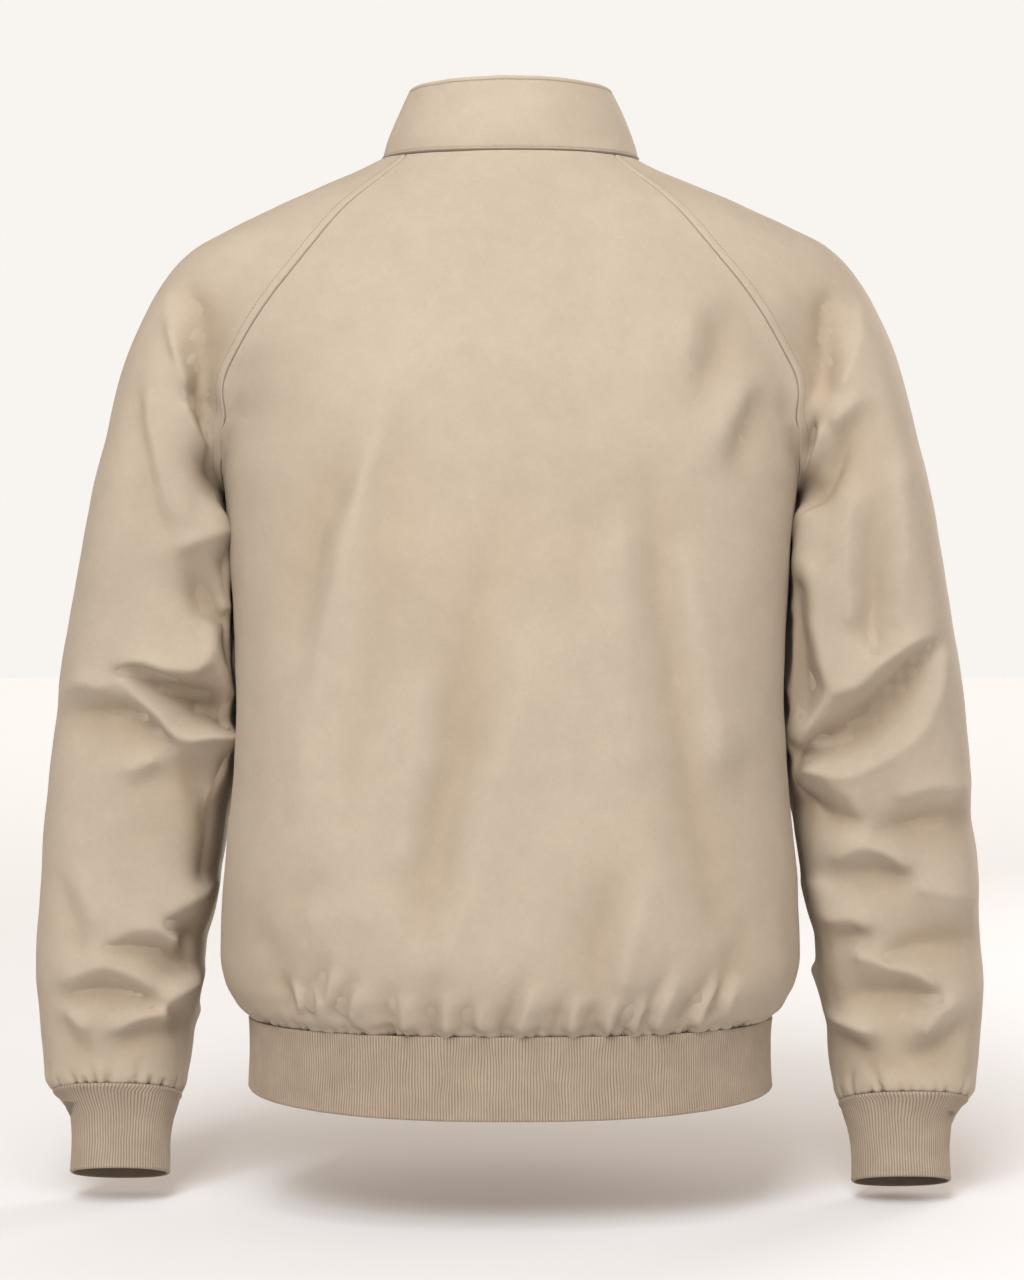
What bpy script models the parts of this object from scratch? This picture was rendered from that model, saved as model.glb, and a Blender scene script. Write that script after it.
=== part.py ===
"""A zip-front harrington jacket, filled out as if worn, with nobody in it.

The body is three cloth walls (back, left front, right front), the raglan sleeves run up to the collar, and
rib knit closes the hem and the cuffs. All cloth hangs on one form: a torso and two sleeves, each a stack of
level sections, that flow into each other above the underarm.

The tables are in millimetres and the meshes in metres. +Z is up, the front faces -Y and the wearer's left is
+X. The origin is the middle of the neck, level with the neck seam at the back.
"""

import math

import bmesh
import bpy
import numpy as np

MM = 0.001

# Wall thicknesses and the gap left at each seam.
CLOTH = 2.2
COLLAR_CLOTH = 2.6
RIB_KNIT = 2.6
SEAM_GAP = 0.36

# Heights of the main seams.
UNDERARM_Z = -235.0
HEM_SEAM_Z = -611.0
HEM_MIDDLE_Z = -639.0
HEM_EDGE_Z = -667.0
HEM_SIDE_RISE = 6.0
SLEEVE_END_Z = -672.0

# Torso and shoulders: half_width is across, back, side and front are where the section lies in Y, and square
# is the exponent of its rounded corners (2 is an ellipse).
TORSO_COLUMNS = ("z", "half_width", "back", "side", "front", "square")
TORSO_SECTIONS = (
    (12, 78, 52, -4, -30, 2.00),
    (2, 92, 61, -4, -36, 2.00),
    (-6, 106, 65.5, -5, -43, 2.00),
    (-20, 137, 73, -7, -52, 2.05),
    (-34, 167, 81, -9, -60.5, 2.10),
    (-49, 194, 89, -10, -69, 2.15),
    (-63, 212, 95.5, -11, -77, 2.20),
    (-78, 222, 102, -11, -85, 2.25),
    (-100, 225, 110, -11, -96, 2.30),
    (-130, 220, 119, -10, -109, 2.35),
    (-165, 213, 127, -8, -119, 2.40),
    (-200, 208, 133, -6, -126, 2.45),
    (-235, 205, 138, -4, -131, 2.50),
    (-280, 201, 142.5, -2, -134, 2.50),
    (-330, 197.5, 145, 0, -135, 2.50),
    (-380, 195.5, 146, 0, -136, 2.50),
    (-430, 197.5, 148, 0, -138, 2.50),
    (-480, 202.5, 151.5, 0, -141, 2.50),
    (-530, 206.5, 156, 0, -146, 2.50),
    (-567, 207.5, 158.5, 0, -149, 2.50),
    (-585, 204.5, 157, 0, -147.5, 2.50),
    (-600, 197, 151.5, 0, -142, 2.50),
    (-611, 187, 144, 0, -134, 2.45),
    (-640, 185.5, 144, 0, -134, 2.45),
    (-667, 187, 145, 0, -135, 2.45),
)

# Left sleeve: outer and inner are its sides in X, middle its centre line in Y and depth half its size in Y.
SLEEVE_COLUMNS = ("z", "outer", "inner", "middle", "depth")
SLEEVE_SECTIONS = (
    (5, 70, 60, -6, 5),
    (-10, 105, 62, -7, 18),
    (-30, 146, 60, -9, 40),
    (-49, 192, 96, -11, 52),
    (-62, 222, 114, -12, 60),
    (-76, 240, 126, -13, 66),
    (-90, 253, 136, -14, 71),
    (-104, 262, 145, -15, 75),
    (-119, 269.5, 154, -16, 78),
    (-148, 280.5, 169, -18, 80.5),
    (-177, 288, 182, -19, 81.5),
    (-206, 294.5, 194, -20, 82),
    (-235, 301, 205, -21, 82),
    (-264, 307, 205.4, -23, 81),
    (-293, 312.5, 203.4, -26, 79),
    (-322, 318, 201.2, -29, 76.5),
    (-351, 323, 199.6, -31, 73.5),
    (-380, 328, 199, -33, 70.5),
    (-410, 332, 200, -35, 68),
    (-439, 335, 202, -36, 66),
    (-468, 337.5, 205, -36, 64.5),
    (-497, 340.3, 210, -36, 63),
    (-527, 342.2, 216, -34, 61.5),
    (-556, 343.5, 220.5, -32, 60),
    (-585, 344, 224, -29.5, 58),
    (-614, 342.8, 227, -26, 56),
    (-643, 340, 230.5, -21.5, 52),
    (-657, 338, 233, -18.5, 49),
    (-672, 330, 238, -14.5, 43.5),
    (-690, 323, 243, -9, 38),
)
SLEEVE_SQUARE = 2.15
# The sleeve's rings lean with the armhole at first, and with the cuff at the end.
ARMHOLE_FADE = 260.0
CUFF_LEAN_STARTS_Z = -540.0
# Rays to the shoulder's rows start from this Y.
CAP_HEART_Y = -10.0
# How softly the sleeve flows into the torso at each height.
BLEND_COLUMNS = ("z", "radius")
BLEND = ((0, 24), (-60, 46), (-110, 40), (-150, 30), (-190, 16), (-220, 6), (-235, 2))
# How much lower each sleeve hangs than the table says, below the elbow.
HANG = {"left": 0.0, "right": 6.0}
HANG_STARTS_Z, HANG_FULL_Z = -250.0, -560.0

# Raglan seams as (x, z), from the neck to the underarm, as seen from behind and from in front.
BACK_RAGLAN = (
    (74, -0.5), (115, -40), (145, -78), (170, -110), (189, -141), (200.5, -165), (204.5, -186), (205.5, -210),
    (205, -235),
)
FRONT_RAGLAN = (
    (64, -27), (92, -62), (122, -98), (151, -132), (176, -165), (194, -196), (203, -218), (205, -235),
)
CAP_ROWS = 10
# The top of the shoulder, from the neck to the outside of the arm level with the underarm.
SHOULDER_LINE = (
    (92, 2), (106, -6), (137, -20), (169, -34), (200, -49), (227, -63), (244, -77), (255, -91), (269, -119),
    (280, -148), (290, -180), (297, -212),
)

# Neck seam: half its width, and where it lies in Y and Z at the back, the side and the front.
NECK_HALF_WIDTH = 92.0
NECK_BACK = (62.0, 0.0)
NECK_SIDE = (-4.0, 2.0)
NECK_FRONT = (-72.0, -55.0)
# The upper edge of the stand collar, in the same way.
COLLAR_HALF_WIDTH = 73.0
COLLAR_BACK = (51.0, 53.0)
COLLAR_SIDE = (-7.0, 52.0)
COLLAR_FRONT = (-66.0, -5.0)
COLLAR_FLARE = 2.0

# Cuff, as (distance down its leaning axis, half its width, half its depth).
CUFF_SECTIONS = ((7, 41.5, 38), (18, 37, 31.5), (37, 35, 29), (57, 35.5, 29.5))
CUFF_LEAN = math.radians(17.0)
CUFF_DRIFT = 2.5
DOWN = np.array([0.0, 0.0, -1.0])
CUFF_DOWN = np.array([0.0, math.sin(CUFF_LEAN), -math.cos(CUFF_LEAN)])

# Gathers where the cloth is drawn in to the rib knit.
BACK_GATHERS = 42
FRONT_GATHERS = 21
CUFF_GATHERS = 16
GATHER_OUT, GATHER_IN = 1.2, 0.8
# The knit's ribs are finer than solids can hold: one raised ridge stands for three or four.
HEM_RIDGES = 150
CUFF_RIDGES = 34
RIDGE_HEIGHT = 0.5

# The largest folds, as straight troughs (depth below 0) and ridges on the back or the front half of the
# cloth, from (x1, z1) to (x2, z2): half, x1, z1, x2, z2, width, depth.
FOLDS = (
    ("back", 236, -103, 213, -190, 15, -7),
    ("back", 233, -282, 200, -316, 14, -4.5),
    ("back", 216, -330, 201, -388, 15, -6),
    ("back", 280, -361, 218, -384, 14, -7),
    ("back", 280, -374, 241, -420, 13, 3.5),
    ("back", 320, -388, 246, -420, 14, -4),
    ("back", 266, -562, 222, -575, 14, -5),
    ("back", 322, -604, 250, -598, 14, -4.5),
    ("back", 286, -632, 240, -614, 13, -4.5),
    ("back", -240, -96, -217, -195, 16, -7.5),
    ("back", -263, -245, -256, -348, 17, -3.5),
    ("back", -302, -342, -230, -404, 15, -7),
    ("back", -309, -353, -241, -430, 14, 4),
    ("back", -215, -316, -206, -415, 15, -6.5),
    ("back", -206, -437, -246, -467, 14, -6),
    ("back", -226, -516, -291, -513, 14, -4.5),
    ("back", -271, -572, -309, -521, 14, -3.5),
    ("back", -232, -612, -306, -600, 14, -5),
    ("front", -238, -100, -215, -190, 15, -6),
    ("front", -300, -365, -225, -392, 15, -6.5),
    ("front", -320, -455, -235, -478, 15, -4),
    ("front", -250, -560, -315, -592, 14, -4.5),
    ("front", 240, -100, 217, -192, 15, -6),
    ("front", 305, -352, 226, -400, 15, -7),
    ("front", 250, -468, 325, -455, 15, -4),
    ("front", 240, -598, 312, -570, 14, -4.5),
    ("back", 112, -317, 142, -520, 26, -2.6),
    ("back", -104, -250, -109, -378, 22, -3),
    ("back", -162, -135, -129, -201, 18, -3.4),
    ("back", -118, -545, -94, -606, 15, -3.4),
    ("back", -16, -552, 2, -607, 15, -3.2),
    ("back", 128, -545, 116, -600, 15, -3.2),
    ("front", 150, -150, 122, -235, 20, -3),
    ("front", -148, -150, -120, -240, 20, -3),
    ("front", 95, -540, 84, -606, 15, -3.2),
    ("front", -70, -545, -62, -606, 15, -3.2),
    ("front", -130, -330, -118, -480, 24, -2.6),
)

# Folds end this far above the rib knit, and what lies nearer the middle than this belongs to the body.
FOLD_FADE, NARROWEST_SLEEVE_X = 25.0, 212.0

# Rows of the cloth's meshes, as (from_z, to_z, rows): closer together where the cloth folds. Rows with
# gathers are (z, how high the gathers stand there).
BODY_ROWS = ((-235, -530, 10), (-530, -580, 3))
SLEEVE_ROWS = ((-235, -315, 4), (-315, -435, 7), (-435, -540, 4), (-540, -640, 6), (-640, -660, 1))
HEM_GATHER_ROWS = ((-593, 0.55), (-603, 1.0), (-611, 0.7))
CUFF_GATHER_ROWS = ((-660, 0.8), (-672, 0.7))
BACK_SEGMENTS = 30
FRONT_SEGMENTS = 15
SLEEVE_SEGMENTS = 22
NECK_SEGMENTS = {"back": 12, "sleeve": 5, "front": 6}
HEM_SEGMENTS = 64
COLLAR_ROWS = 4

# Zip: every depth is measured inward from the outside of the cloth.
ZIP_OPENING = 5.2
TAPE_INNER, TAPE_OUTER, TAPE_DEPTH = 2.5, 12.5, (3.1, 3.9)
CHAIN_HALF_WIDTH, CHAIN_DEPTH = 2.2, (0.9, 3.2)
SLIDER_BELOW_EDGE = 3.0
SLIDER_HALF_WIDTH, SLIDER_LENGTH = 4.6, 11.0
SLIDER_FRONT, SLIDER_BACK = (-0.7, 0.6), (4.2, 5.3)
SLIDER_WEB, SLIDER_WEB_REACH = 1.6, (0.4, 3.0)
BAIL_TOP, BAIL_LENGTH, BAIL_GAP, BAIL_BAR, BAIL_HALF_WIDTH = 1.2, 7.6, 2.4, 0.8, 0.8
PULL_OFF, PULL_THICK, PULL_BAR, PULL_WINDOW, PULL_LENGTH = 1.9, 1.2, 1.2, 4.6, 26.0
PULL_HALF_WIDTH, PULL_WINDOW_HALF_WIDTH = 3.2, 1.5
BOX_HALF_WIDTH, BOX_HEIGHT, BOX_DEPTH = 4.4, 9.0, (0.2, 2.6)

KHAKI = (0.545, 0.432, 0.320)
RIB_KHAKI = (0.400, 0.300, 0.205)
BRASS = (0.46, 0.36, 0.20)


# ---------------------------------------------------------------- curves and tables


def curve_through(xs, ys):
    """A smooth curve through the points that never overshoots them (monotone cubic)."""
    order = np.argsort(xs)
    xs, ys = np.asarray(xs, float)[order], np.asarray(ys, float)[order]
    step = np.diff(xs)
    slope = np.diff(ys) / step
    tangent = np.concatenate([[slope[0]], np.zeros(len(xs) - 2), [slope[-1]]])
    for i in range(1, len(xs) - 1):
        if slope[i - 1] * slope[i] > 0:
            before, after = 2 * step[i] + step[i - 1], step[i] + 2 * step[i - 1]
            tangent[i] = (before + after) / (before / slope[i - 1] + after / slope[i])

    def at(x):
        x = np.clip(x, xs[0], xs[-1])
        i = np.clip(np.searchsorted(xs, x) - 1, 0, len(step) - 1)
        t = (x - xs[i]) / step[i]
        rise = step[i] * (t * (1 - t) ** 2 * tangent[i] - t**2 * (1 - t) * tangent[i + 1])
        return ys[i] + (ys[i + 1] - ys[i]) * t * t * (3 - 2 * t) + rise

    return at


def profiles(columns, rows):
    """One curve over the first column for each other column."""
    table = np.array(rows, float)
    return {name: curve_through(table[:, 0], table[:, i]) for i, name in enumerate(columns) if i}


TORSO = profiles(TORSO_COLUMNS, TORSO_SECTIONS)
SLEEVE = profiles(SLEEVE_COLUMNS, SLEEVE_SECTIONS)
BLEND_RADIUS = profiles(BLEND_COLUMNS, BLEND)["radius"]


def smooth(t):
    """0 to 1 with level ends."""
    t = np.clip(t, 0, 1)
    return t * t * (3 - 2 * t)


def resampled(line, count):
    """The line again as count points an even distance apart."""
    along = np.concatenate([[0], np.cumsum(np.linalg.norm(np.diff(line, axis=0), axis=1))])
    at = np.linspace(0, along[-1], count)
    return np.stack([np.interp(at, along, line[:, k]) for k in range(line.shape[1])], axis=1)


def unit(v):
    return v / np.maximum(np.linalg.norm(v, axis=-1, keepdims=True), 1e-12)


def squared(directions, axis):
    """The directions turned square to an axis."""
    return unit(directions - np.outer(directions @ axis, axis))


# ---------------------------------------------------------------- the form the cloth hangs on


def torso_point(z, angle):
    """The torso's surface at a height and an angle: 0 at the wearer's left, a quarter turn at the back."""
    power = 2 / TORSO["square"](z)
    across, along = np.cos(angle), np.sin(angle)
    side = TORSO["side"](z)
    depth = np.where(along > 0, TORSO["back"](z) - side, side - TORSO["front"](z))
    x = TORSO["half_width"](z) * np.sign(across) * np.abs(across) ** power
    y = side + depth * np.sign(along) * np.abs(along) ** power
    return np.stack([x, y, z + 0 * x], axis=-1)


def torso_distance(p):
    x, y, z = p[..., 0], p[..., 1] - TORSO["side"](p[..., 2]), p[..., 2]
    square = TORSO["square"](z)
    side = TORSO["side"](z)
    depth = np.where(y > 0, TORSO["back"](z) - side, side - TORSO["front"](z))
    share = (np.abs(x / TORSO["half_width"](z)) ** square + np.abs(y / depth) ** square) ** (1 / square)
    return np.hypot(x, y) * (1 - 1 / np.maximum(share, 1e-6))


def hanging(z, side):
    """The height in the sleeve's table that is found at z on this side's sleeve."""
    return z + HANG[side] * smooth((HANG_STARTS_Z - z) / (HANG_STARTS_Z - HANG_FULL_Z))


def sleeve_axis(z, side):
    """The sleeve's centre, half width and half depth in the level section at z."""
    z = hanging(z, side)
    outer, inner = SLEEVE["outer"](z), SLEEVE["inner"](z)
    sign = 1 if side == "left" else -1
    return sign * (outer + inner) / 2, SLEEVE["middle"](z), (outer - inner) / 2, SLEEVE["depth"](z)


def sleeve_point(z, angle, side):
    """The sleeve's surface: angle 0 at its outer side, a quarter turn at the back."""
    x, y, half_width, half_depth = sleeve_axis(z, side)
    power = 2 / SLEEVE_SQUARE
    across, along = np.cos(angle), np.sin(angle)
    sign = 1 if side == "left" else -1
    px = x + sign * half_width * np.sign(across) * np.abs(across) ** power
    py = y + half_depth * np.sign(along) * np.abs(along) ** power
    return np.stack([px, py, z + 0 * px], axis=-1)


def sleeve_distance(p, side):
    x, y, half_width, half_depth = sleeve_axis(p[..., 2], side)
    dx, dy = p[..., 0] - x, p[..., 1] - y
    square = SLEEVE_SQUARE
    share = (np.abs(dx / half_width) ** square + np.abs(dy / half_depth) ** square) ** (1 / square)
    return np.hypot(dx, dy) * (1 - 1 / np.maximum(share, 1e-6))


def form_distance(p):
    """Below 0 inside the form that torso and sleeves make together."""
    side_of = np.where(p[..., 0] > 0, sleeve_distance(p, "left"), sleeve_distance(p, "right"))
    torso = torso_distance(p)
    radius = BLEND_RADIUS(p[..., 2])
    share = np.clip(0.5 + 0.5 * (side_of - torso) / radius, 0, 1)
    return side_of + (torso - side_of) * share - radius * share * (1 - share)


def form_slope(p, reach=0.5):
    """The direction in which the form's distance grows fastest, and how fast."""
    steps = np.eye(3) * reach
    return np.stack([form_distance(p + s) - form_distance(p - s) for s in steps], axis=-1) / (2 * reach)


def onto_form(p, rounds=12):
    """Points near the form moved onto it."""
    for _ in range(rounds):
        slope = form_slope(p)
        p = p - slope * (form_distance(p) / np.maximum((slope**2).sum(-1), 0.05))[..., None]
    return p


def out_to_form(start, towards, reach=180.0, stride=2.0):
    """Where rays from inside the form first leave it: found in strides, then by halving."""
    distances = np.arange(0, reach, stride)
    outside = form_distance(start + towards[:, None] * distances[:, None]) > 0
    high = distances[np.argmax(outside, axis=1)]
    low = high - stride
    for _ in range(20):
        middle = (low + high) / 2
        inside = form_distance(start + towards * middle[:, None]) < 0
        low, high = np.where(inside, middle, low), np.where(inside, high, middle)
    return start + towards * low[:, None]


# ---------------------------------------------------------------- seams


def oval(angle, half_width, back, side, front):
    """A collar or neck line: angle 0 is the back, half a turn is the front."""
    swing = np.cos(angle)
    behind = swing > 0
    y = np.where(behind, side[0] + (back[0] - side[0]) * swing, side[0] - (front[0] - side[0]) * swing)
    drop = swing**2
    z = np.where(behind, side[1] + (back[1] - side[1]) * drop, side[1] + (front[1] - side[1]) * drop)
    return np.stack([half_width * np.sin(angle), y, z], axis=-1)


def neck_line(angle):
    return onto_form(oval(angle, NECK_HALF_WIDTH, NECK_BACK, NECK_SIDE, NECK_FRONT))


def torso_angle(x, z, front):
    """The angle at which the torso's section at z is x wide."""
    share = np.clip(np.abs(x) / TORSO["half_width"](z), 0, 1) ** (TORSO["square"](z) / 2)
    angle = np.arccos(share)
    return -angle if front else angle


def raglan(table, front, fine=240):
    """A raglan seam of the left side, laid on the form as fine points."""
    line = np.array(table, float)
    along = np.concatenate([[0], np.cumsum(np.hypot(*np.diff(line, axis=0).T))])
    at = np.linspace(0, along[-1], fine)
    x, z = curve_through(along, line[:, 0])(at), curve_through(along, line[:, 1])(at)
    return onto_form(torso_point(z, torso_angle(x, z, front)))


def shoulder(count):
    line = np.array(SHOULDER_LINE, float)
    return resampled(line, count)


def cap_seams():
    """Where the left cap's rows start on the back seam, end on the front seam, and top the shoulder."""
    back = resampled(raglan(BACK_RAGLAN, False), CAP_ROWS + 1)
    tops = shoulder(CAP_ROWS + 1)
    fine_front = raglan(FRONT_RAGLAN, True)
    front = [fine_front[0]]
    for j in range(1, CAP_ROWS):
        across = tops[j] - back[j][[0, 2]]
        normal = np.array([-across[1], across[0]])
        off = (fine_front[:, [0, 2]] - back[j][[0, 2]]) @ normal
        flip = np.flatnonzero(np.diff(np.sign(off)))[0]
        share = off[flip] / (off[flip] - off[flip + 1])
        front.append(fine_front[flip] * (1 - share) + fine_front[flip + 1] * share)
    front.append(back[-1])
    front = onto_form(np.array(front))
    front[-1] = back[-1]
    front[0] = neck_line(neck_angle(fine_front[0][0], True))
    back[0] = neck_line(neck_angle(back[0][0], False))
    return back, front, tops


def neck_angle(x, front):
    """The angle at which the neck seam is x from the centre line."""
    angle = math.asin(min(1.0, float(x) / NECK_HALF_WIDTH))
    return np.float64(math.pi - angle if front else angle)


def mirrored(points):
    return points * np.array([-1.0, 1.0, 1.0])


# ---------------------------------------------------------------- panels as rows of points on the form


class Sheet:
    """Rows of points, from the neck down. From closed_from on they are rings: their last point is the first.

    A row's wave is how high its gathers stand, and its inner count how many points the inside has there.
    """

    def __init__(self, rows, closed_from=None, gathered=(), plain=None):
        self.rows = rows
        self.closed_from = len(rows) if closed_from is None else closed_from
        self.waves = [0.0] * (len(rows) - len(gathered)) + [height for _, height in gathered]
        self.inner_counts = [plain if wave else len(row) for row, wave in zip(rows, self.waves)]


def spread(bands):
    """Row heights from a table of bands."""
    return [z for from_z, to_z, rows in bands for z in np.linspace(from_z, to_z, rows + 1)[1:]]


def torso_row(z, from_angle, to_angle, count):
    """Points along the torso at one height or between two, on the form."""
    t = np.linspace(0, 1, 160)
    heights = z[0] + (z[1] - z[0]) * t
    return resampled(onto_form(torso_point(heights, from_angle + (to_angle - from_angle) * t)), count)


def ends_set(row, first=None, last=None, reach=0.25):
    """The row with its ends moved exactly to given points, and its neighbours moved less and less."""
    t = np.linspace(0, 1, len(row))[:, None]
    if first is not None:
        row = row + smooth(1 - t / reach) * (first - row[0])
    if last is not None:
        row = row + smooth(1 - (1 - t) / reach) * (last - row[-1])
    return row


def angle_of(point, front):
    return float(torso_angle(point[0], point[2], front))


def growing(neck, full, j):
    """The points in cap row j: from the neck's count of segments to the full count at the underarm."""
    return neck + round((full - neck) * j / CAP_ROWS) + 1


def back_sheet(seams):
    """The back, from the neck seam down, each row from the wearer's left to the right."""
    back = seams[0]
    neck_end = math.asin(back[0][0] / NECK_HALF_WIDTH)
    neck = neck_line(np.linspace(neck_end, -neck_end, NECK_SEGMENTS["back"] + 1))
    rows = [ends_set(neck, back[0], mirrored(back[0]))]
    for j in range(1, CAP_ROWS + 1):
        z, angle = back[j][2], angle_of(back[j], False)
        row = torso_row((z, z), angle, math.pi - angle, growing(NECK_SEGMENTS["back"], BACK_SEGMENTS, j))
        rows.append(ends_set(row, back[j], mirrored(back[j])))
    half_turn = np.linspace(0, math.pi, 240)
    rows += [resampled(torso_point(z, half_turn), BACK_SEGMENTS + 1) for z in spread(BODY_ROWS)]
    rows += [resampled(torso_point(z, half_turn), 2 * BACK_GATHERS + 1) for z, _ in HEM_GATHER_ROWS]
    return Sheet(rows, gathered=HEM_GATHER_ROWS, plain=BACK_SEGMENTS + 1)


def front_sheet(seams):
    """The left front, from the neck seam down, each row from the side to the zip."""
    front = seams[1]
    from_angle = math.pi - math.asin(front[0][0] / NECK_HALF_WIDTH)
    to_angle = math.pi - math.asin(ZIP_OPENING / NECK_HALF_WIDTH)
    neck = neck_line(np.linspace(from_angle, to_angle, NECK_SEGMENTS["front"] + 1))
    rows = [ends_set(neck, front[0])]
    edge_z = np.linspace(neck[-1][2], UNDERARM_Z, CAP_ROWS + 1)
    for j in range(1, CAP_ROWS + 1):
        heights = (front[j][2], edge_z[j])
        zip_angle = float(torso_angle(ZIP_OPENING, edge_z[j], True))
        count = growing(NECK_SEGMENTS["front"], FRONT_SEGMENTS, j)
        rows.append(ends_set(torso_row(heights, angle_of(front[j], True), zip_angle, count), front[j]))
    for z in spread(BODY_ROWS) + [z for z, _ in HEM_GATHER_ROWS]:
        line = torso_point(z, np.linspace(0, float(torso_angle(ZIP_OPENING, z, True)), 160))
        gathered = z <= HEM_GATHER_ROWS[0][0]
        rows.append(resampled(line, 2 * FRONT_GATHERS + 1 if gathered else FRONT_SEGMENTS + 1))
    return Sheet(rows, gathered=HEM_GATHER_ROWS, plain=FRONT_SEGMENTS + 1)


def cap_row(back, front, top, share, count):
    """One row over the shoulder, from the back seam to the front seam, in the plane through them along Y."""
    heart = (back + front) / 2
    heart[1] = CAP_HEART_Y
    heart[[0, 2]] += (top - heart[[0, 2]]) * 0.5 * share
    outward = unit(np.array([top[0] - heart[0], 0.0, top[1] - heart[2]]))
    behind = np.array([0.0, 1.0, 0.0])
    turns = [math.atan2(point[1] - heart[1], (point - heart) @ outward) for point in (back, front)]
    turns = np.linspace(*turns, 181)
    row = out_to_form(heart, outward * np.cos(turns)[:, None] + behind * np.sin(turns)[:, None])
    row[0], row[-1] = back, front
    return resampled(row, count)


def sleeve_ring(level, lean_out, lean_back, side, count):
    """A closed ring in a leaning plane: its outer side is higher by lean_out, its back by lean_back."""
    turns = np.linspace(math.pi, -math.pi, 241)
    x, y, _, _ = sleeve_axis(level, side)
    z = np.full(len(turns), float(level))
    for _ in range(12):
        p = sleeve_point(z, turns, side)
        z = level + lean_out * (np.abs(p[:, 0]) - abs(x)) + lean_back * (p[:, 1] - y)
    ring = resampled(sleeve_point(z, turns, side), count)
    ring[-1] = ring[0]
    return ring


def sleeve_sheet(seams, side):
    """A sleeve: open rows over the shoulder down to the underarm, then closed rings to the cuff."""
    back, front, tops = seams
    neck_angles = neck_angle(back[0][0], False), neck_angle(front[0][0], True)
    neck = neck_line(np.linspace(*neck_angles, NECK_SEGMENTS["sleeve"] + 1))
    rows = [ends_set(neck, back[0], front[0])]
    for j in range(1, CAP_ROWS):
        count = growing(NECK_SEGMENTS["sleeve"], SLEEVE_SEGMENTS, j)
        rows.append(cap_row(back[j], front[j], tops[j], j / CAP_ROWS, count))
    armhole_slope = (tops[-1][1] - UNDERARM_Z) / (tops[-1][0] - back[-1][0])
    level = UNDERARM_Z + armhole_slope * sleeve_axis(UNDERARM_Z, "left")[2]
    armhole = sleeve_ring(level, armhole_slope, 0.0, "left", SLEEVE_SEGMENTS + 1)
    rows.append(ends_set(armhole, back[-1], back[-1], reach=0.15))
    if side == "right":
        rows = [mirrored(row) for row in rows]
    for z in spread(SLEEVE_ROWS) + [SLEEVE_END_Z]:
        drop = HANG[side] * float(smooth((HANG_STARTS_Z - z) / (HANG_STARTS_Z - HANG_FULL_Z)))
        lean_out = armhole_slope * (1 - smooth((UNDERARM_Z - z) / ARMHOLE_FADE))
        cuff_share = smooth((CUFF_LEAN_STARTS_Z - z) / (CUFF_LEAN_STARTS_Z - SLEEVE_END_Z))
        lean_back = math.tan(CUFF_LEAN) * cuff_share
        level = z - drop + lean_out * sleeve_axis(z, side)[2]
        count = 2 * CUFF_GATHERS + 1 if z <= CUFF_GATHER_ROWS[0][0] else SLEEVE_SEGMENTS + 1
        rows.append(sleeve_ring(level, lean_out, lean_back, side, count))
    return Sheet(rows, closed_from=CAP_ROWS, gathered=CUFF_GATHER_ROWS, plain=SLEEVE_SEGMENTS + 1)


# ---------------------------------------------------------------- walls


def strip(first, second):
    """Faces between two lines of points, as corners (line, place): triangles where the counts differ."""
    if len(first) == len(second):
        return [((0, i), (0, i + 1), (1, i + 1), (1, i)) for i in range(len(first) - 1)]
    faces, i, j = [], 0, 0
    while i < len(first) - 1 or j < len(second) - 1:
        ahead_first = np.linalg.norm(first[i + 1] - second[j]) if i < len(first) - 1 else np.inf
        ahead_second = np.linalg.norm(first[i] - second[j + 1]) if j < len(second) - 1 else np.inf
        if ahead_first <= ahead_second:
            faces.append(((0, i), (0, i + 1), (1, j)))
            i += 1
        else:
            faces.append(((0, i), (1, j + 1), (1, j)))
            j += 1
    return faces


def numbered(rows, closed_from, start=0):
    """Vertex numbers of each row, a ring's last being its first, and all the rows' points in that order."""
    lines, points = [], []
    for j, row in enumerate(rows):
        count = len(row) - (j >= closed_from)
        lines.append(list(range(start, start + count)) + ([start] if j >= closed_from else []))
        points.append(row[:count])
        start += count
    return lines, np.concatenate(points)


def joined(faces, first, second):
    """A strip's faces with their corners as vertex numbers."""
    lines = first, second
    return [tuple(lines[line][place] for line, place in face) for face in faces]


def sheet_faces(rows, lines, pattern_rows=None):
    """Faces through all the rows. Where pattern_rows has as many points, it says how a strip divides."""
    faces = []
    for j in range(len(rows) - 1):
        pair = rows[j : j + 2]
        pattern = pair if pattern_rows is None else pattern_rows[j : j + 2]
        if [len(row) for row in pattern] != [len(row) for row in pair]:
            pattern = pair
        faces += joined(strip(*pattern), lines[j], lines[j + 1])
    return faces


def key_of(point):
    return tuple(np.round(point, 3) + 0.0)


def normals_of(sheets):
    """Each sheet's outward normals by row, shared where sheets meet so that walls stay side by side."""
    shared = {}
    for sheet in sheets:
        lines, points = numbered(sheet.rows, sheet.closed_from)
        total = np.zeros_like(points)
        for face in sheet_faces(sheet.rows, lines):
            corners = points[list(face)]
            cross = np.cross(corners[1] - corners[0], corners[2] - corners[0])
            if len(face) == 4:
                cross = cross + np.cross(corners[2] - corners[0], corners[3] - corners[0])
            total[list(face)] += cross
        total *= np.sign((total * form_slope(points)).sum())
        for point, value in zip(points, total):
            shared[key_of(point)] = shared.get(key_of(point), 0) + value
    return [[unit(np.array([shared[key_of(p)] for p in row])) for row in sheet.rows] for sheet in sheets]


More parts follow.
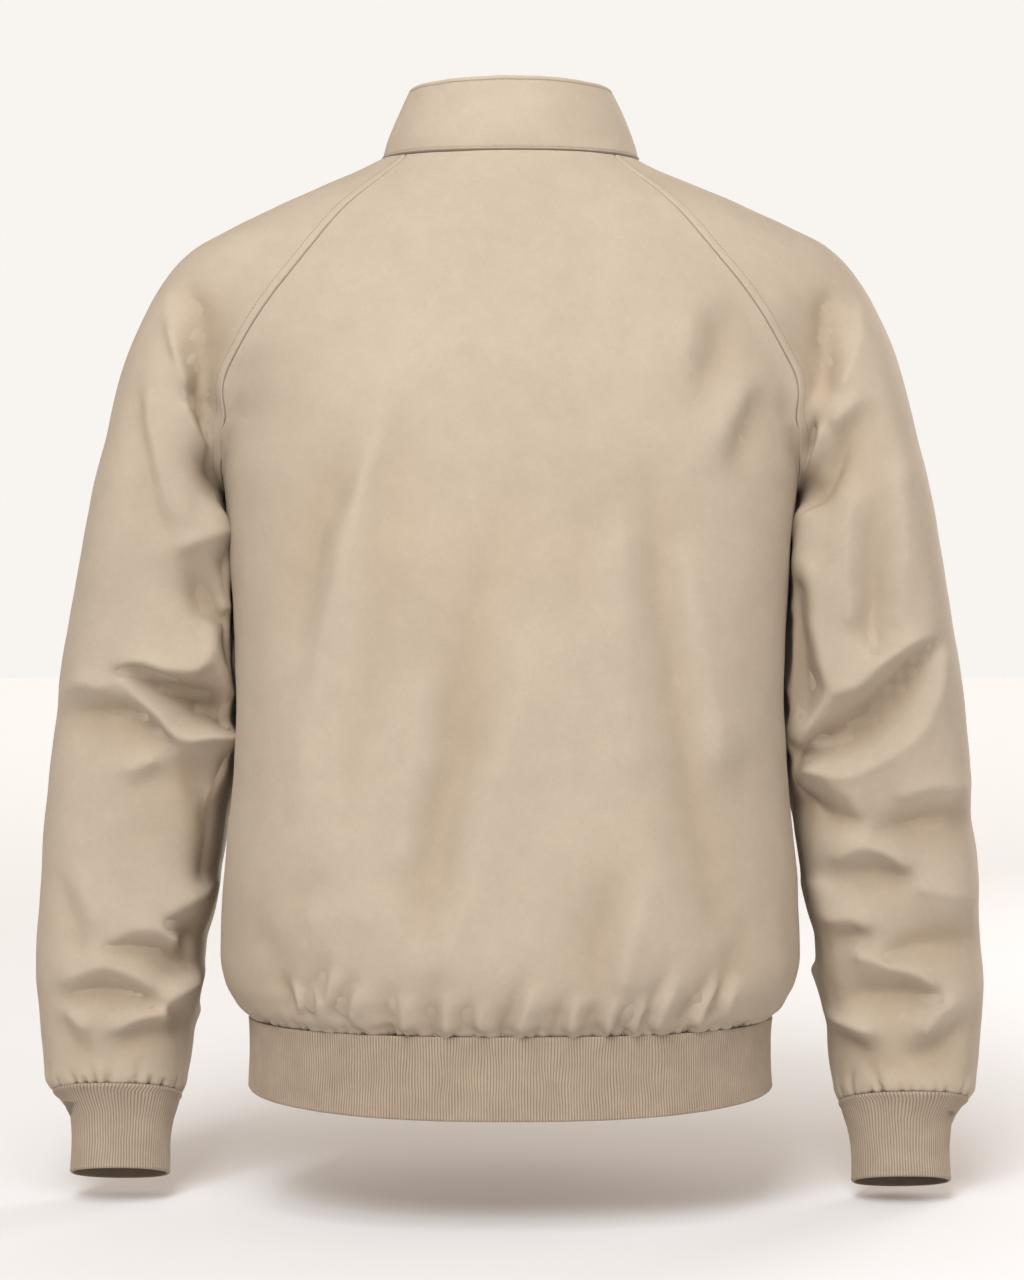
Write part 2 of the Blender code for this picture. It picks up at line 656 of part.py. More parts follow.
def fold_depth(points, normals):
    """How far the folds push each point along its normal."""
    push = np.zeros(len(points))
    for half, x1, z1, x2, z2, width, depth in FOLDS:
        line = np.array([x2 - x1, z2 - z1], float)
        away = points[:, [0, 2]] - (x1, z1)
        t = np.clip(away @ line / (line @ line), 0, 1)
        off = np.linalg.norm(away - t[:, None] * line, axis=1)
        facing = normals[:, 1] if half == "back" else -normals[:, 1]
        push += depth * np.exp(-((off / width) ** 2)) * smooth((facing + 0.1) / 0.6)
    seam_z = np.where(np.abs(points[:, 0]) < NARROWEST_SLEEVE_X, HEM_SEAM_Z, SLEEVE_END_Z)
    return push * smooth((points[:, 2] - seam_z) / FOLD_FADE)


def press_folds(sheets):
    for sheet, normals in zip(sheets, normals_of(sheets)):
        sheet.rows = [row + n * fold_depth(row, n)[:, None] for row, n in zip(sheet.rows, normals)]


def inset(sheet):
    """The sheet's rows with every seam edge drawn back by half the gap."""
    back_off = SEAM_GAP / 2
    rows = [row.copy() for row in sheet.rows]
    for j, row in enumerate(sheet.rows[: sheet.closed_from]):
        rows[j][0] += back_off * unit(row[1] - row[0])
        rows[j][-1] += back_off * unit(row[-2] - row[-1])
    if 0 < sheet.closed_from < len(rows):
        ring, below = sheet.rows[sheet.closed_from], sheet.rows[sheet.closed_from + 1]
        rows[sheet.closed_from][[0, -1]] += 2 * back_off * unit((ring[1] + ring[-2] + below[0]) / 3 - ring[0])
    for edge, beside in ((0, 1), (-1, -2)):
        rows[edge] += back_off * unit(resampled(sheet.rows[beside], len(rows[edge])) - sheet.rows[edge])
    return rows


def wave(count, height):
    """Gathers or ribs: a crest at every second point, some higher than others."""
    i = np.arange(count)
    uneven = 0.8 + 0.2 * np.sin(2.4 * i) * np.sin(0.37 * i + 1)
    return height * np.where(i % 2, GATHER_OUT, -GATHER_IN) * uneven


def solid(name, points, faces, material):
    """A mesh object of these points in millimetres, with its faces turned outward."""
    mesh = bpy.data.meshes.new(name)
    mesh.from_pydata([tuple(p * MM) for p in points], [], faces)
    shape = bmesh.new()
    shape.from_mesh(mesh)
    bmesh.ops.recalc_face_normals(shape, faces=shape.faces)
    shape.to_mesh(mesh)
    shape.free()
    mesh.materials.append(material)
    obj = bpy.data.objects.new(name, mesh)
    bpy.context.scene.collection.objects.link(obj)
    return obj


def wall(name, outer, inner, closed_from, material):
    """A closed wall between outer and inner rows, which may differ in how many points each row has."""
    lines, outer_points = numbered(outer, closed_from)
    inner_lines, inner_points = numbered(inner, closed_from, len(outer_points))
    faces = sheet_faces(outer, lines) + sheet_faces(inner, inner_lines, outer)
    for end in (0, -1):
        faces += joined(strip(outer[end], inner[end]), lines[end], inner_lines[end])
    if closed_from:
        for end in (0, -1):
            edge = [line[end] for line in lines[: closed_from + 1]]
            inner_edge = [line[end] for line in inner_lines[: closed_from + 1]]
            faces += joined(strip(edge, inner_edge), edge, inner_edge)
    obj = solid(name, np.concatenate([outer_points, inner_points]), faces, material)
    obj.data.shade_smooth()
    obj.data.set_sharp_from_angle(angle=math.radians(50))
    return obj


def cloth_wall(name, sheet, normals, material, down=DOWN):
    """A panel's wall: the gathers stand on its outside, square to down, and its inside stays plain."""
    outer = inset(sheet)
    inner = []
    for j, (normal, count) in enumerate(zip(normals, sheet.inner_counts)):
        skin = outer[j] - normal * CLOTH
        inner.append(skin if count == len(skin) else resampled(skin, count))
        if sheet.waves[j]:
            outer[j] = outer[j] + squared(normal, down) * wave(len(skin), sheet.waves[j])[:, None]
            outer[j][-1] = outer[j][0] if j >= sheet.closed_from else outer[j][-1]
    return wall(name, outer, inner, sheet.closed_from, material)


def ribbed_wall(name, rows, ridges, plain_count, closed, material, down=DOWN):
    """A rib knit wall: every second point of its outside stands out as a ridge, over a plain inside."""
    ridged = [resampled(row, 2 * ridges + 1) for row in rows]
    outward = row_normals(ridged, closed)
    outward[0] = squared(outward[0], down)
    raised = np.where(np.arange(2 * ridges + 1) % 2, RIDGE_HEIGHT, 0)[:, None]
    outer = [row + n * raised for row, n in zip(ridged, outward)]
    inner = [resampled(row - n * RIB_KNIT, plain_count) for row, n in zip(ridged, outward)]
    if closed:
        for row in outer + inner:
            row[-1] = row[0]
    return wall(name, outer, inner, 0 if closed else len(rows), material)


def row_normals(rows, closed):
    """Outward normals of rows that all have the same number of points and run round the wearer or the arm."""
    grid = np.array(rows)
    down = np.gradient(grid, axis=0)
    if closed:
        looped = np.concatenate([grid[:, -2:-1], grid, grid[:, 1:2]], axis=1)
        along = (looped[:, 2:] - looped[:, :-2]) / 2
    else:
        along = np.gradient(grid, axis=1)
    normal = unit(np.cross(down, along))
    middle = grid.mean(axis=1, keepdims=True)
    return normal * np.sign((normal * (grid - middle)).sum())


# ---------------------------------------------------------------- collar and rib knit


def collar_rows(back, front, sleeve):
    """The stand collar, from the neck seam up, on the points where the panels end."""
    half = [front[::-1], sleeve[::-1][1:]]
    low = np.concatenate(half + [back[1:], mirrored(sleeve)[1:], mirrored(front[::-1])[::-1][1:]])
    edge = math.asin(ZIP_OPENING / COLLAR_HALF_WIDTH)
    angles = np.linspace(math.pi - edge, edge - math.pi, 400)
    line = oval(angles, COLLAR_HALF_WIDTH, COLLAR_BACK, COLLAR_SIDE, COLLAR_FRONT)
    along = np.concatenate([[0], np.cumsum(np.linalg.norm(np.diff(low, axis=0), axis=1))])
    fine = np.concatenate([[0], np.cumsum(np.linalg.norm(np.diff(line, axis=0), axis=1))])
    at = along / along[-1] * fine[-1]
    high = np.stack([np.interp(at, fine, line[:, k]) for k in range(3)], axis=1)
    outward = unit(high * (1, 1, 0) - (0, COLLAR_SIDE[0], 0))
    rows = []
    for t in np.linspace(0, 1, COLLAR_ROWS + 1):
        rows.append(low + (high - low) * t + outward * COLLAR_FLARE * math.sin(math.pi * t))
    return rows


def make_collar(rows, material):
    """The collar's solid, its lowest row drawn up from the neck seam and its ends from the zip."""
    outward = row_normals(rows, closed=False)
    outer = [row.copy() for row in rows]
    outer[0] += SEAM_GAP / 2 * unit(rows[1] - rows[0])
    inner = [row - n * COLLAR_CLOTH for row, n in zip(outer, outward)]
    return wall("collar", outer, inner, len(rows), material)


def hem_rib_rows():
    """The hem's band, from the seam down. Its edge is a little higher at the sides than at the back."""
    rows = []
    levels = (HEM_SEAM_Z - SEAM_GAP / 2, 0), (HEM_MIDDLE_Z, HEM_SIDE_RISE / 2), (HEM_EDGE_Z, HEM_SIDE_RISE)
    for z, rise in levels:
        start = float(torso_angle(ZIP_OPENING, z, True))
        angles = np.linspace(start, math.pi - start, 720)
        rows.append(torso_point(z, angles) + np.outer(rise * np.cos(angles) ** 2, (0, 0, 1)))
    return rows


def cuff_rows(ring, side):
    """A cuff, from the sleeve's last ring down its leaning axis."""
    centre = ring[:-1].mean(axis=0)
    across = np.array([0.0, -CUFF_DOWN[2], CUFF_DOWN[1]])
    sign = 1 if side == "left" else -1
    turns = np.linspace(math.pi, -math.pi, 241)
    power = 2 / SLEEVE_SQUARE
    rows = [resampled(ring, len(turns)) + CUFF_DOWN * SEAM_GAP / 2]
    for along, half_width, half_depth in CUFF_SECTIONS:
        x = sign * half_width * np.sign(np.cos(turns)) * np.abs(np.cos(turns)) ** power
        y = half_depth * np.sign(np.sin(turns)) * np.abs(np.sin(turns)) ** power
        drift = np.array([-sign * CUFF_DRIFT * smooth(along / CUFF_SECTIONS[1][0]), 0, 0])
        rows.append(centre + drift + CUFF_DOWN * along + np.outer(x, (1.0, 0.0, 0.0)) + np.outer(y, across))
    return rows


# ---------------------------------------------------------------- zip


class ZipLine:
    """The front's centre line on the outside of the cloth, from the collar's upper edge to the hem.

    beside is where the cloth lies at the tape's outer edge, which is further in where the neck curves.
    """

    def __init__(self, rows):
        """Each row starts at the zip's edge of the cloth and runs to the wearer's left."""
        self.points = np.array([row[0] for row in rows]) * (0, 1, 1)
        self.beside = np.array([self.crossing(row) for row in rows]) * (0, 1, 1)
        self.along = np.concatenate([[0], np.cumsum(np.linalg.norm(np.diff(self.points, axis=0), axis=1))])
        down = unit(np.gradient(self.points, self.along, axis=0))
        self.outward = np.stack([0 * down[:, 0], down[:, 2], -down[:, 1]], axis=1)

    @staticmethod
    def crossing(row):
        return [np.interp(TAPE_OUTER, row[:8, 0], row[:8, k]) for k in range(3)]

    def read(self, table, s):
        return np.array([np.interp(s, self.along, table[:, k]) for k in range(3)])

    def at(self, s):
        """The point, the way down and the way out at a distance from the upper edge."""
        out = unit(self.read(self.outward, s))
        return self.read(self.points, s), np.array([0.0, -out[2], out[1]]), out

    def band(self, from_s, to_s, near, far, depth):
        """Rings of four corners of a band that follows the line, between two x and two depths."""
        inside = self.along[(self.along > from_s + 1) & (self.along < to_s - 1)]
        rings = []
        for s in [from_s, *inside, to_s]:
            point, _, out = self.at(s)
            aside = self.read(self.beside, s) - point
            ring = []
            for x, d in ((near, depth[0]), (far, depth[0]), (far, depth[1]), (near, depth[1])):
                share = max(0.0, (abs(x) - ZIP_OPENING) / (TAPE_OUTER - ZIP_OPENING))
                ring.append(point + aside * share + (x, 0, 0) - out * d)
            rings.append(ring)
        return np.array(rings)


def band_solid(name, rings, material):
    """A bar with a rectangular section through rings of four corners."""
    faces = [(0, 1, 2, 3), tuple(4 * (len(rings) - 1) + k for k in (3, 2, 1, 0))]
    for ring in range(len(rings) - 1):
        for k in range(4):
            low, high = 4 * ring, 4 * ring + 4
            faces.append((low + k, high + k, high + (k + 1) % 4, low + (k + 1) % 4))
    return solid(name, rings.reshape(-1, 3), faces, material)


def profile(name, frame, x, outline, material):
    """An outline seen from the side, as (down the zip, inward from the cloth's outside), thick across x."""
    point, down, out = frame
    points = [point + (px, 0, 0) + down * along - out * depth for px in x for along, depth in outline]
    count = len(outline)
    faces = [tuple(range(count)), tuple(range(2 * count - 1, count - 1, -1))]
    faces += [(k, k + count, (k + 1) % count + count, (k + 1) % count) for k in range(count)]
    return solid(name, np.array(points), faces, material)


def block(name, frame, x, along, depth, material):
    """A straight block in the zip's own frame."""
    (top, bottom), (near, far) = along, depth
    return profile(name, frame, x, ((top, near), (bottom, near), (bottom, far), (top, far)), material)


def combine(base, others, operation):
    """One solid from several: each other becomes a hidden helper of a Boolean on the base."""
    for other in others:
        other.hide_render = True
        other.display_type = "WIRE"
        modifier = base.modifiers.new(other.name, "BOOLEAN")
        modifier.operation = operation
        modifier.object = other
    return base


def make_slider(frame, metal):
    """The slider: two plates with a web between them near the top, and a bail in front for the pull."""
    half = SLIDER_HALF_WIDTH
    front = block("zip_slider", frame, (-half, half), (0, SLIDER_LENGTH), SLIDER_FRONT, metal)
    back = block("slider_back", frame, (-half, half), (0, SLIDER_LENGTH), SLIDER_BACK, metal)
    inside = (sum(SLIDER_FRONT) / 2, sum(SLIDER_BACK) / 2)
    web = block("slider_web", frame, (-SLIDER_WEB / 2, SLIDER_WEB / 2), SLIDER_WEB_REACH, inside, metal)
    top, bottom = BAIL_TOP, BAIL_TOP + BAIL_LENGTH
    under = SLIDER_FRONT[0] - BAIL_GAP
    over = under - BAIL_BAR
    hook = [(top, inside[0]), (top, over), (bottom, over), (bottom, inside[0])]
    hook += [(bottom - BAIL_BAR, inside[0]), (bottom - BAIL_BAR, under), (top + BAIL_BAR, under)]
    hook += [(top + BAIL_BAR, inside[0])]
    bail = profile("slider_bail", frame, (-BAIL_HALF_WIDTH, BAIL_HALF_WIDTH), hook, metal)
    return combine(front, [back, web, bail], "UNION")


def make_pull(frame, metal):
    """The pull tab, hanging against the zip from a bar that turns in the bail."""
    point, down, out = frame
    pivot = point + down * (BAIL_TOP + BAIL_LENGTH / 2) + out * PULL_OFF
    hinge = (np.zeros(3), down, out)
    thick = (-PULL_THICK / 2, PULL_THICK / 2)
    width = (-PULL_HALF_WIDTH, PULL_HALF_WIDTH)
    tab = block("zip_pull", hinge, width, (-PULL_BAR / 2, PULL_LENGTH), thick, metal)
    hole_width = (-PULL_WINDOW_HALF_WIDTH, PULL_WINDOW_HALF_WIDTH)
    hole = block("pull_window", hinge, hole_width, (PULL_BAR / 2, PULL_BAR / 2 + PULL_WINDOW), (-2, 2), metal)
    combine(tab, [hole], "DIFFERENCE")
    tab.location = hole.location = tuple(pivot * MM)
    return tab


def make_zip(rows, tape_cloth, metal):
    line = ZipLine(rows)
    end = line.along[-1]
    for side, sign in (("left", 1), ("right", -1)):
        rings = line.band(0, end, sign * TAPE_INNER, sign * TAPE_OUTER, TAPE_DEPTH)
        band_solid(f"zip_tape_{side}", rings, tape_cloth)
    chain_start = SLIDER_BELOW_EDGE + SLIDER_WEB_REACH[1] + SEAM_GAP
    chain_end = end - BOX_HEIGHT - SEAM_GAP
    half = CHAIN_HALF_WIDTH
    band_solid("zip_chain", line.band(chain_start, chain_end, -half, half, CHAIN_DEPTH), metal)
    point, _, _ = line.at(SLIDER_BELOW_EDGE)
    _, down, out = line.at(SLIDER_BELOW_EDGE + SLIDER_LENGTH / 2)
    make_slider((point, down, out), metal)
    make_pull((point, down, out), metal)
    half = BOX_HALF_WIDTH
    band_solid("zip_box", line.band(end - BOX_HEIGHT, end, -half, half, BOX_DEPTH), metal)


# ---------------------------------------------------------------- the jacket


def cleared():
    for obj in list(bpy.data.objects):
        bpy.data.objects.remove(obj, do_unlink=True)


def finish(name, colour, roughness, metallic=0.0):
    material = bpy.data.materials.new(name)
    material.use_nodes = True
    shader = material.node_tree.nodes["Principled BSDF"]
    shader.inputs["Base Color"].default_value = (*colour, 1.0)
    shader.inputs["Roughness"].default_value = roughness
    shader.inputs["Metallic"].default_value = metallic
    return material


def main():
    cleared()
    cotton = finish("cotton", KHAKI, 0.85)
    knit = finish("rib_knit", RIB_KHAKI, 0.9)
    brass = finish("brass", BRASS, 0.35, 1.0)

    seams = cap_seams()
    front = front_sheet(seams)
    mirrored_front = [mirrored(row) for row in front.rows]
    sheets = {
        "back": back_sheet(seams),
        "front_left": front,
        "front_right": Sheet(mirrored_front, gathered=HEM_GATHER_ROWS, plain=FRONT_SEGMENTS + 1),
        "sleeve_left": sleeve_sheet(seams, "left"),
        "sleeve_right": sleeve_sheet(seams, "right"),
    }
    collar = collar_rows(sheets["back"].rows[0], front.rows[0], sheets["sleeve_left"].rows[0])
    press_folds(sheets.values())
    for (name, sheet), normals in zip(sheets.items(), normals_of(sheets.values())):
        cloth_wall(name, sheet, normals, cotton, CUFF_DOWN if name.startswith("sleeve") else DOWN)

    make_collar(collar, cotton)
    rib = hem_rib_rows()
    ribbed_wall("hem_rib", rib, HEM_RIDGES, HEM_SEGMENTS + 1, False, knit)
    for side in ("left", "right"):
        ring = sheets[f"sleeve_{side}"].rows[-1]
        rows = cuff_rows(ring, side)
        ribbed_wall(f"cuff_{side}", rows, CUFF_RIDGES, SLEEVE_SEGMENTS + 1, True, knit, CUFF_DOWN)

    make_zip(collar[:0:-1] + [row[::-1] for row in front.rows] + rib[1:], cotton, brass)


main()
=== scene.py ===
"""The looks of a harrington jacket, filled out as if worn, seen from behind.

Each piece of cloth is built again, finely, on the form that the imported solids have: a torso and two
sleeves made of level sections that flow into each other. It is a thin closed wall with its creases,
gathers, seams and stitches. Tables are in millimetres, in the part's own frame, and meshes in metres.
"""

import math

import bmesh
import bpy
import numpy as np
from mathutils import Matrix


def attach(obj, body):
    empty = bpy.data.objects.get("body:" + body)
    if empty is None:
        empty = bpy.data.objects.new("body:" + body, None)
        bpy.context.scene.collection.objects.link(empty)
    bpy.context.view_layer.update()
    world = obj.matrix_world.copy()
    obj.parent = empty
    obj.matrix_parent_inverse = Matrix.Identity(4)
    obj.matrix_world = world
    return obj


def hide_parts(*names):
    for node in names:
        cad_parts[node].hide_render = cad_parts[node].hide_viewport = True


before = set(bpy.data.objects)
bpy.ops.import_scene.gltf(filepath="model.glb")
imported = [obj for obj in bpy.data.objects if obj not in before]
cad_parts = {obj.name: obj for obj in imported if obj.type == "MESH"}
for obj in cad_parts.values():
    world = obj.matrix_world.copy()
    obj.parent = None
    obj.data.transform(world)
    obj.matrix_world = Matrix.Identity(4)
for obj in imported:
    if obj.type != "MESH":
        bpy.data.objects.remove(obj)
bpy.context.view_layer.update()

MM = 0.001
# X is positive on the wearer's left.
SIGN = {"left": 1, "right": -1}

# ---------------------------------------------------------------- the form's sizes

UNDERARM_Z = -235.0
HEM_SEAM_Z = -611.0
HEM_EDGE_Z = -667.0
HEM_SIDE_RISE = 6.0
SLEEVE_END_Z = -672.0

# Torso and shoulders: half_width is across, back, side and front are where the section lies in Y, and square
# is the exponent of its rounded corners (2 is an ellipse).
TORSO_COLUMNS = ("z", "half_width", "back", "side", "front", "square")
TORSO_SECTIONS = (
    (12, 78, 52, -4, -30, 2.00),
    (2, 92, 61, -4, -36, 2.00),
    (-6, 106, 65.5, -5, -43, 2.00),
    (-20, 137, 73, -7, -52, 2.05),
    (-34, 167, 81, -9, -60.5, 2.10),
    (-49, 194, 89, -10, -69, 2.15),
    (-63, 212, 95.5, -11, -77, 2.20),
    (-78, 222, 102, -11, -85, 2.25),
    (-100, 225, 110, -11, -96, 2.30),
    (-130, 220, 119, -10, -109, 2.35),
    (-165, 213, 127, -8, -119, 2.40),
    (-200, 208, 133, -6, -126, 2.45),
    (-235, 205, 138, -4, -131, 2.50),
    (-280, 201, 142.5, -2, -134, 2.50),
    (-330, 197.5, 145, 0, -135, 2.50),
    (-380, 195.5, 146, 0, -136, 2.50),
    (-430, 197.5, 148, 0, -138, 2.50),
    (-480, 202.5, 151.5, 0, -141, 2.50),
    (-530, 206.5, 156, 0, -146, 2.50),
    (-567, 207.5, 158.5, 0, -149, 2.50),
    (-585, 204.5, 157, 0, -147.5, 2.50),
    (-600, 197, 151.5, 0, -142, 2.50),
    (-611, 187, 144, 0, -134, 2.45),
    (-640, 185.5, 144, 0, -134, 2.45),
    (-667, 187, 145, 0, -135, 2.45),
)

# Left sleeve: outer and inner are its sides in X, middle its centre line in Y and depth half its size in Y.
SLEEVE_COLUMNS = ("z", "outer", "inner", "middle", "depth")
SLEEVE_SECTIONS = (
    (5, 70, 60, -6, 5),
    (-10, 105, 62, -7, 18),
    (-30, 146, 60, -9, 40),
    (-49, 192, 96, -11, 52),
    (-62, 222, 114, -12, 60),
    (-76, 240, 126, -13, 66),
    (-90, 253, 136, -14, 71),
    (-104, 262, 145, -15, 75),
    (-119, 269.5, 154, -16, 78),
    (-148, 280.5, 169, -18, 80.5),
    (-177, 288, 182, -19, 81.5),
    (-206, 294.5, 194, -20, 82),
    (-235, 301, 205, -21, 82),
    (-264, 307, 205.4, -23, 81),
    (-293, 312.5, 203.4, -26, 79),
    (-322, 318, 201.2, -29, 76.5),
    (-351, 323, 199.6, -31, 73.5),
    (-380, 328, 199, -33, 70.5),
    (-410, 332, 200, -35, 68),
    (-439, 335, 202, -36, 66),
    (-468, 337.5, 205, -36, 64.5),
    (-497, 340.3, 210, -36, 63),
    (-527, 342.2, 216, -34, 61.5),
    (-556, 343.5, 220.5, -32, 60),
    (-585, 344, 224, -29.5, 58),
    (-614, 342.8, 227, -26, 56),
    (-643, 340, 230.5, -21.5, 52),
    (-657, 338, 233, -18.5, 49),
    (-672, 330, 238, -14.5, 43.5),
    (-690, 323, 243, -9, 38),
)
SLEEVE_SQUARE = 2.15
# Between the shoulder and the cuff the sleeve is squarer by this much, on its outer half and its inner half:
# the height where that starts, over how much height it grows and, above the sleeve's end, fades.
FLATTENED = (0.45, 1.7)
FLAT_FROM_Z, FLAT_GROWS, FLAT_FADES = -80.0, 120.0, 90.0
INNER_FLAT_FROM_Z, INNER_FLAT_GROWS = -205.0, 45.0
# Over these heights below the underarm, the rings lose the armhole's slope, and their start moves inward.
ARMHOLE_FADE, START_FADE = 260.0, 110.0
# The sleeve lies against the body between these heights: how close, and how wide a groove is closed.
TUCK_FROM, TUCK_TO = -235.0, -480.0
TUCK_CLEAR, TUCK_FULL, TUCK_REACH = 0.6, 6.0, 22.0
TUCK_STARTS, TUCK_ENDS = 24.0, 50.0
# From this height down the rings take on the cuff's lean.
CUFF_LEAN_STARTS_Z = -540.0
# The rays over the shoulder start at this Y.
CAP_HEART_Y = -10.0
# How softly the torso and the sleeves flow into each other at each height.
BLEND_COLUMNS = ("z", "radius")
BLEND = ((0, 24), (-60, 46), (-110, 40), (-150, 30), (-190, 16), (-220, 6), (-235, 2))
# How much lower each sleeve hangs, and the heights where that starts and where it is whole.
HANG = {"left": 0.0, "right": 6.0}
HANG_STARTS_Z, HANG_FULL_Z = -250.0, -560.0

# Raglan seams as (x, z), from the neck to the underarm, as seen from behind and from in front.
BACK_RAGLAN = (
    (74, -0.5), (115, -40), (145, -78), (170, -110), (189, -141), (200.5, -165), (204.5, -186), (205.5, -210),
    (205, -235),
)
FRONT_RAGLAN = (
    (64, -27), (92, -62), (122, -98), (151, -132), (176, -165), (194, -196), (203, -218), (205, -235),
)
# The top of the shoulder, from the neck to the outside of the arm level with the underarm.
SHOULDER_LINE = (
    (92, 2), (106, -6), (137, -20), (169, -34), (200, -49), (227, -63), (244, -77), (255, -91), (269, -119),
    (280, -148), (290, -180), (297, -212),
)

# The neck seam and the collar's upper edge: half their width, and (y, z) at the back, the sides and in front.
NECK_HALF_WIDTH = 92.0
NECK_BACK = (62.0, 0.0)
NECK_SIDE = (-4.0, 2.0)
NECK_FRONT = (-72.0, -55.0)
COLLAR_HALF_WIDTH = 73.0
COLLAR_BACK = (51.0, 53.0)
COLLAR_SIDE = (-7.0, 52.0)
COLLAR_FRONT = (-66.0, -5.0)
# How far the collar bows out halfway up.
COLLAR_FLARE = 2.0

# The cuff's sections along its leaning axis, from the sleeve's end. It drifts towards the body by CUFF_DRIFT.
CUFF_COLUMNS = ("along", "half_width", "half_depth")
CUFF_SECTIONS = ((7, 41.5, 38), (18, 37, 31.5), (37, 35, 29), (57, 35.5, 29.5))
CUFF_FIRST_ROW, CUFF_ROWS = 1.5, 26
CUFF_LEAN = math.radians(17.0)
CUFF_DRIFT = 2.5
CUFF_DOWN = np.array([0.0, math.sin(CUFF_LEAN), -math.cos(CUFF_LEAN)])

ZIP_OPENING = 5.2

# ---------------------------------------------------------------- sizes of the finish

SHELL, COLLAR_SHELL, RIB_SHELL = 1.6, 2.4, 2.4
# The raw grid over the shoulder: how many rows it has, and the first and the last that rays find. The others
# lead over to the neck and the armhole. Below the underarm, raw rows are RAW_STEP apart.
RAW_CAP_ROWS, FIRST_RAY, LAST_RAY = 150, 15, 135
RAW_COLUMNS, RAW_STEP = 401, 1.8
# Points close to a seam, as distances from it, and how many rows and columns each piece has.
SEAM_STEPS = np.array([0, 0.35, 0.8, 1.4, 2.2, 3.2, 4.4, 5.3, 6.0, 6.7, 7.6, 9.0])
CAP_GRID_ROWS, LOWER_GRID_ROWS = 110, 220
BACK_GRID, FRONT_GRID, SLEEVE_GRID = 250, 130, 240
COLLAR_GRID, COLLAR_STEPS = (46, 420), np.array([0, 0.4, 0.9, 1.4, 1.9, 2.5, 3.4])

# Turned edges sink into their seam by ROLL within about ROLL_REACH of it.
ROLL, ROLL_REACH = 1.2, 0.75
# Painted shade: how much darker the colour is down in a seam and along the collar's stitch grooves.
SEAM_PAINTED_SHADE, STITCH_PAINTED_SHADE = 6.0, 5.0
# Painted shade in the folds: cloth this deep in a fold has this share of each colour taken away, darker and
# browner, standing in for the dim light that only the cloth round it bounces in.
FOLD_DEEP = 9.0
FOLD_PAINTED_SHADE = (0.11, 0.145, 0.19)
# The sleeve's seam allowance lies under it, up to the topstitch. It ends over this many rows at the underarm.
ALLOWANCE_RISE, TOPSTITCH_AT, STRIP_ENDS = 0.28, 6.0, 8
# How deep and how wide the groove is that topstitches pull into the cloth and into the collar.
STITCH_GROOVE, COLLAR_GROOVE = (0.28, 0.7), (0.42, 0.55)
# The collar's rows of stitches above its seam, below its upper edge and beside its ends.
COLLAR_STITCH_LOW, COLLAR_STITCH_HIGH, COLLAR_STITCH_END = 1.9, 1.9, 2.2
# How far the collar's inner face reaches below the neck seam. Its outer face sinks into the seam and bulges
# just above it.
COLLAR_TUCK, COLLAR_SINK, COLLAR_BULGE = 2.2, 1.1, 0.75

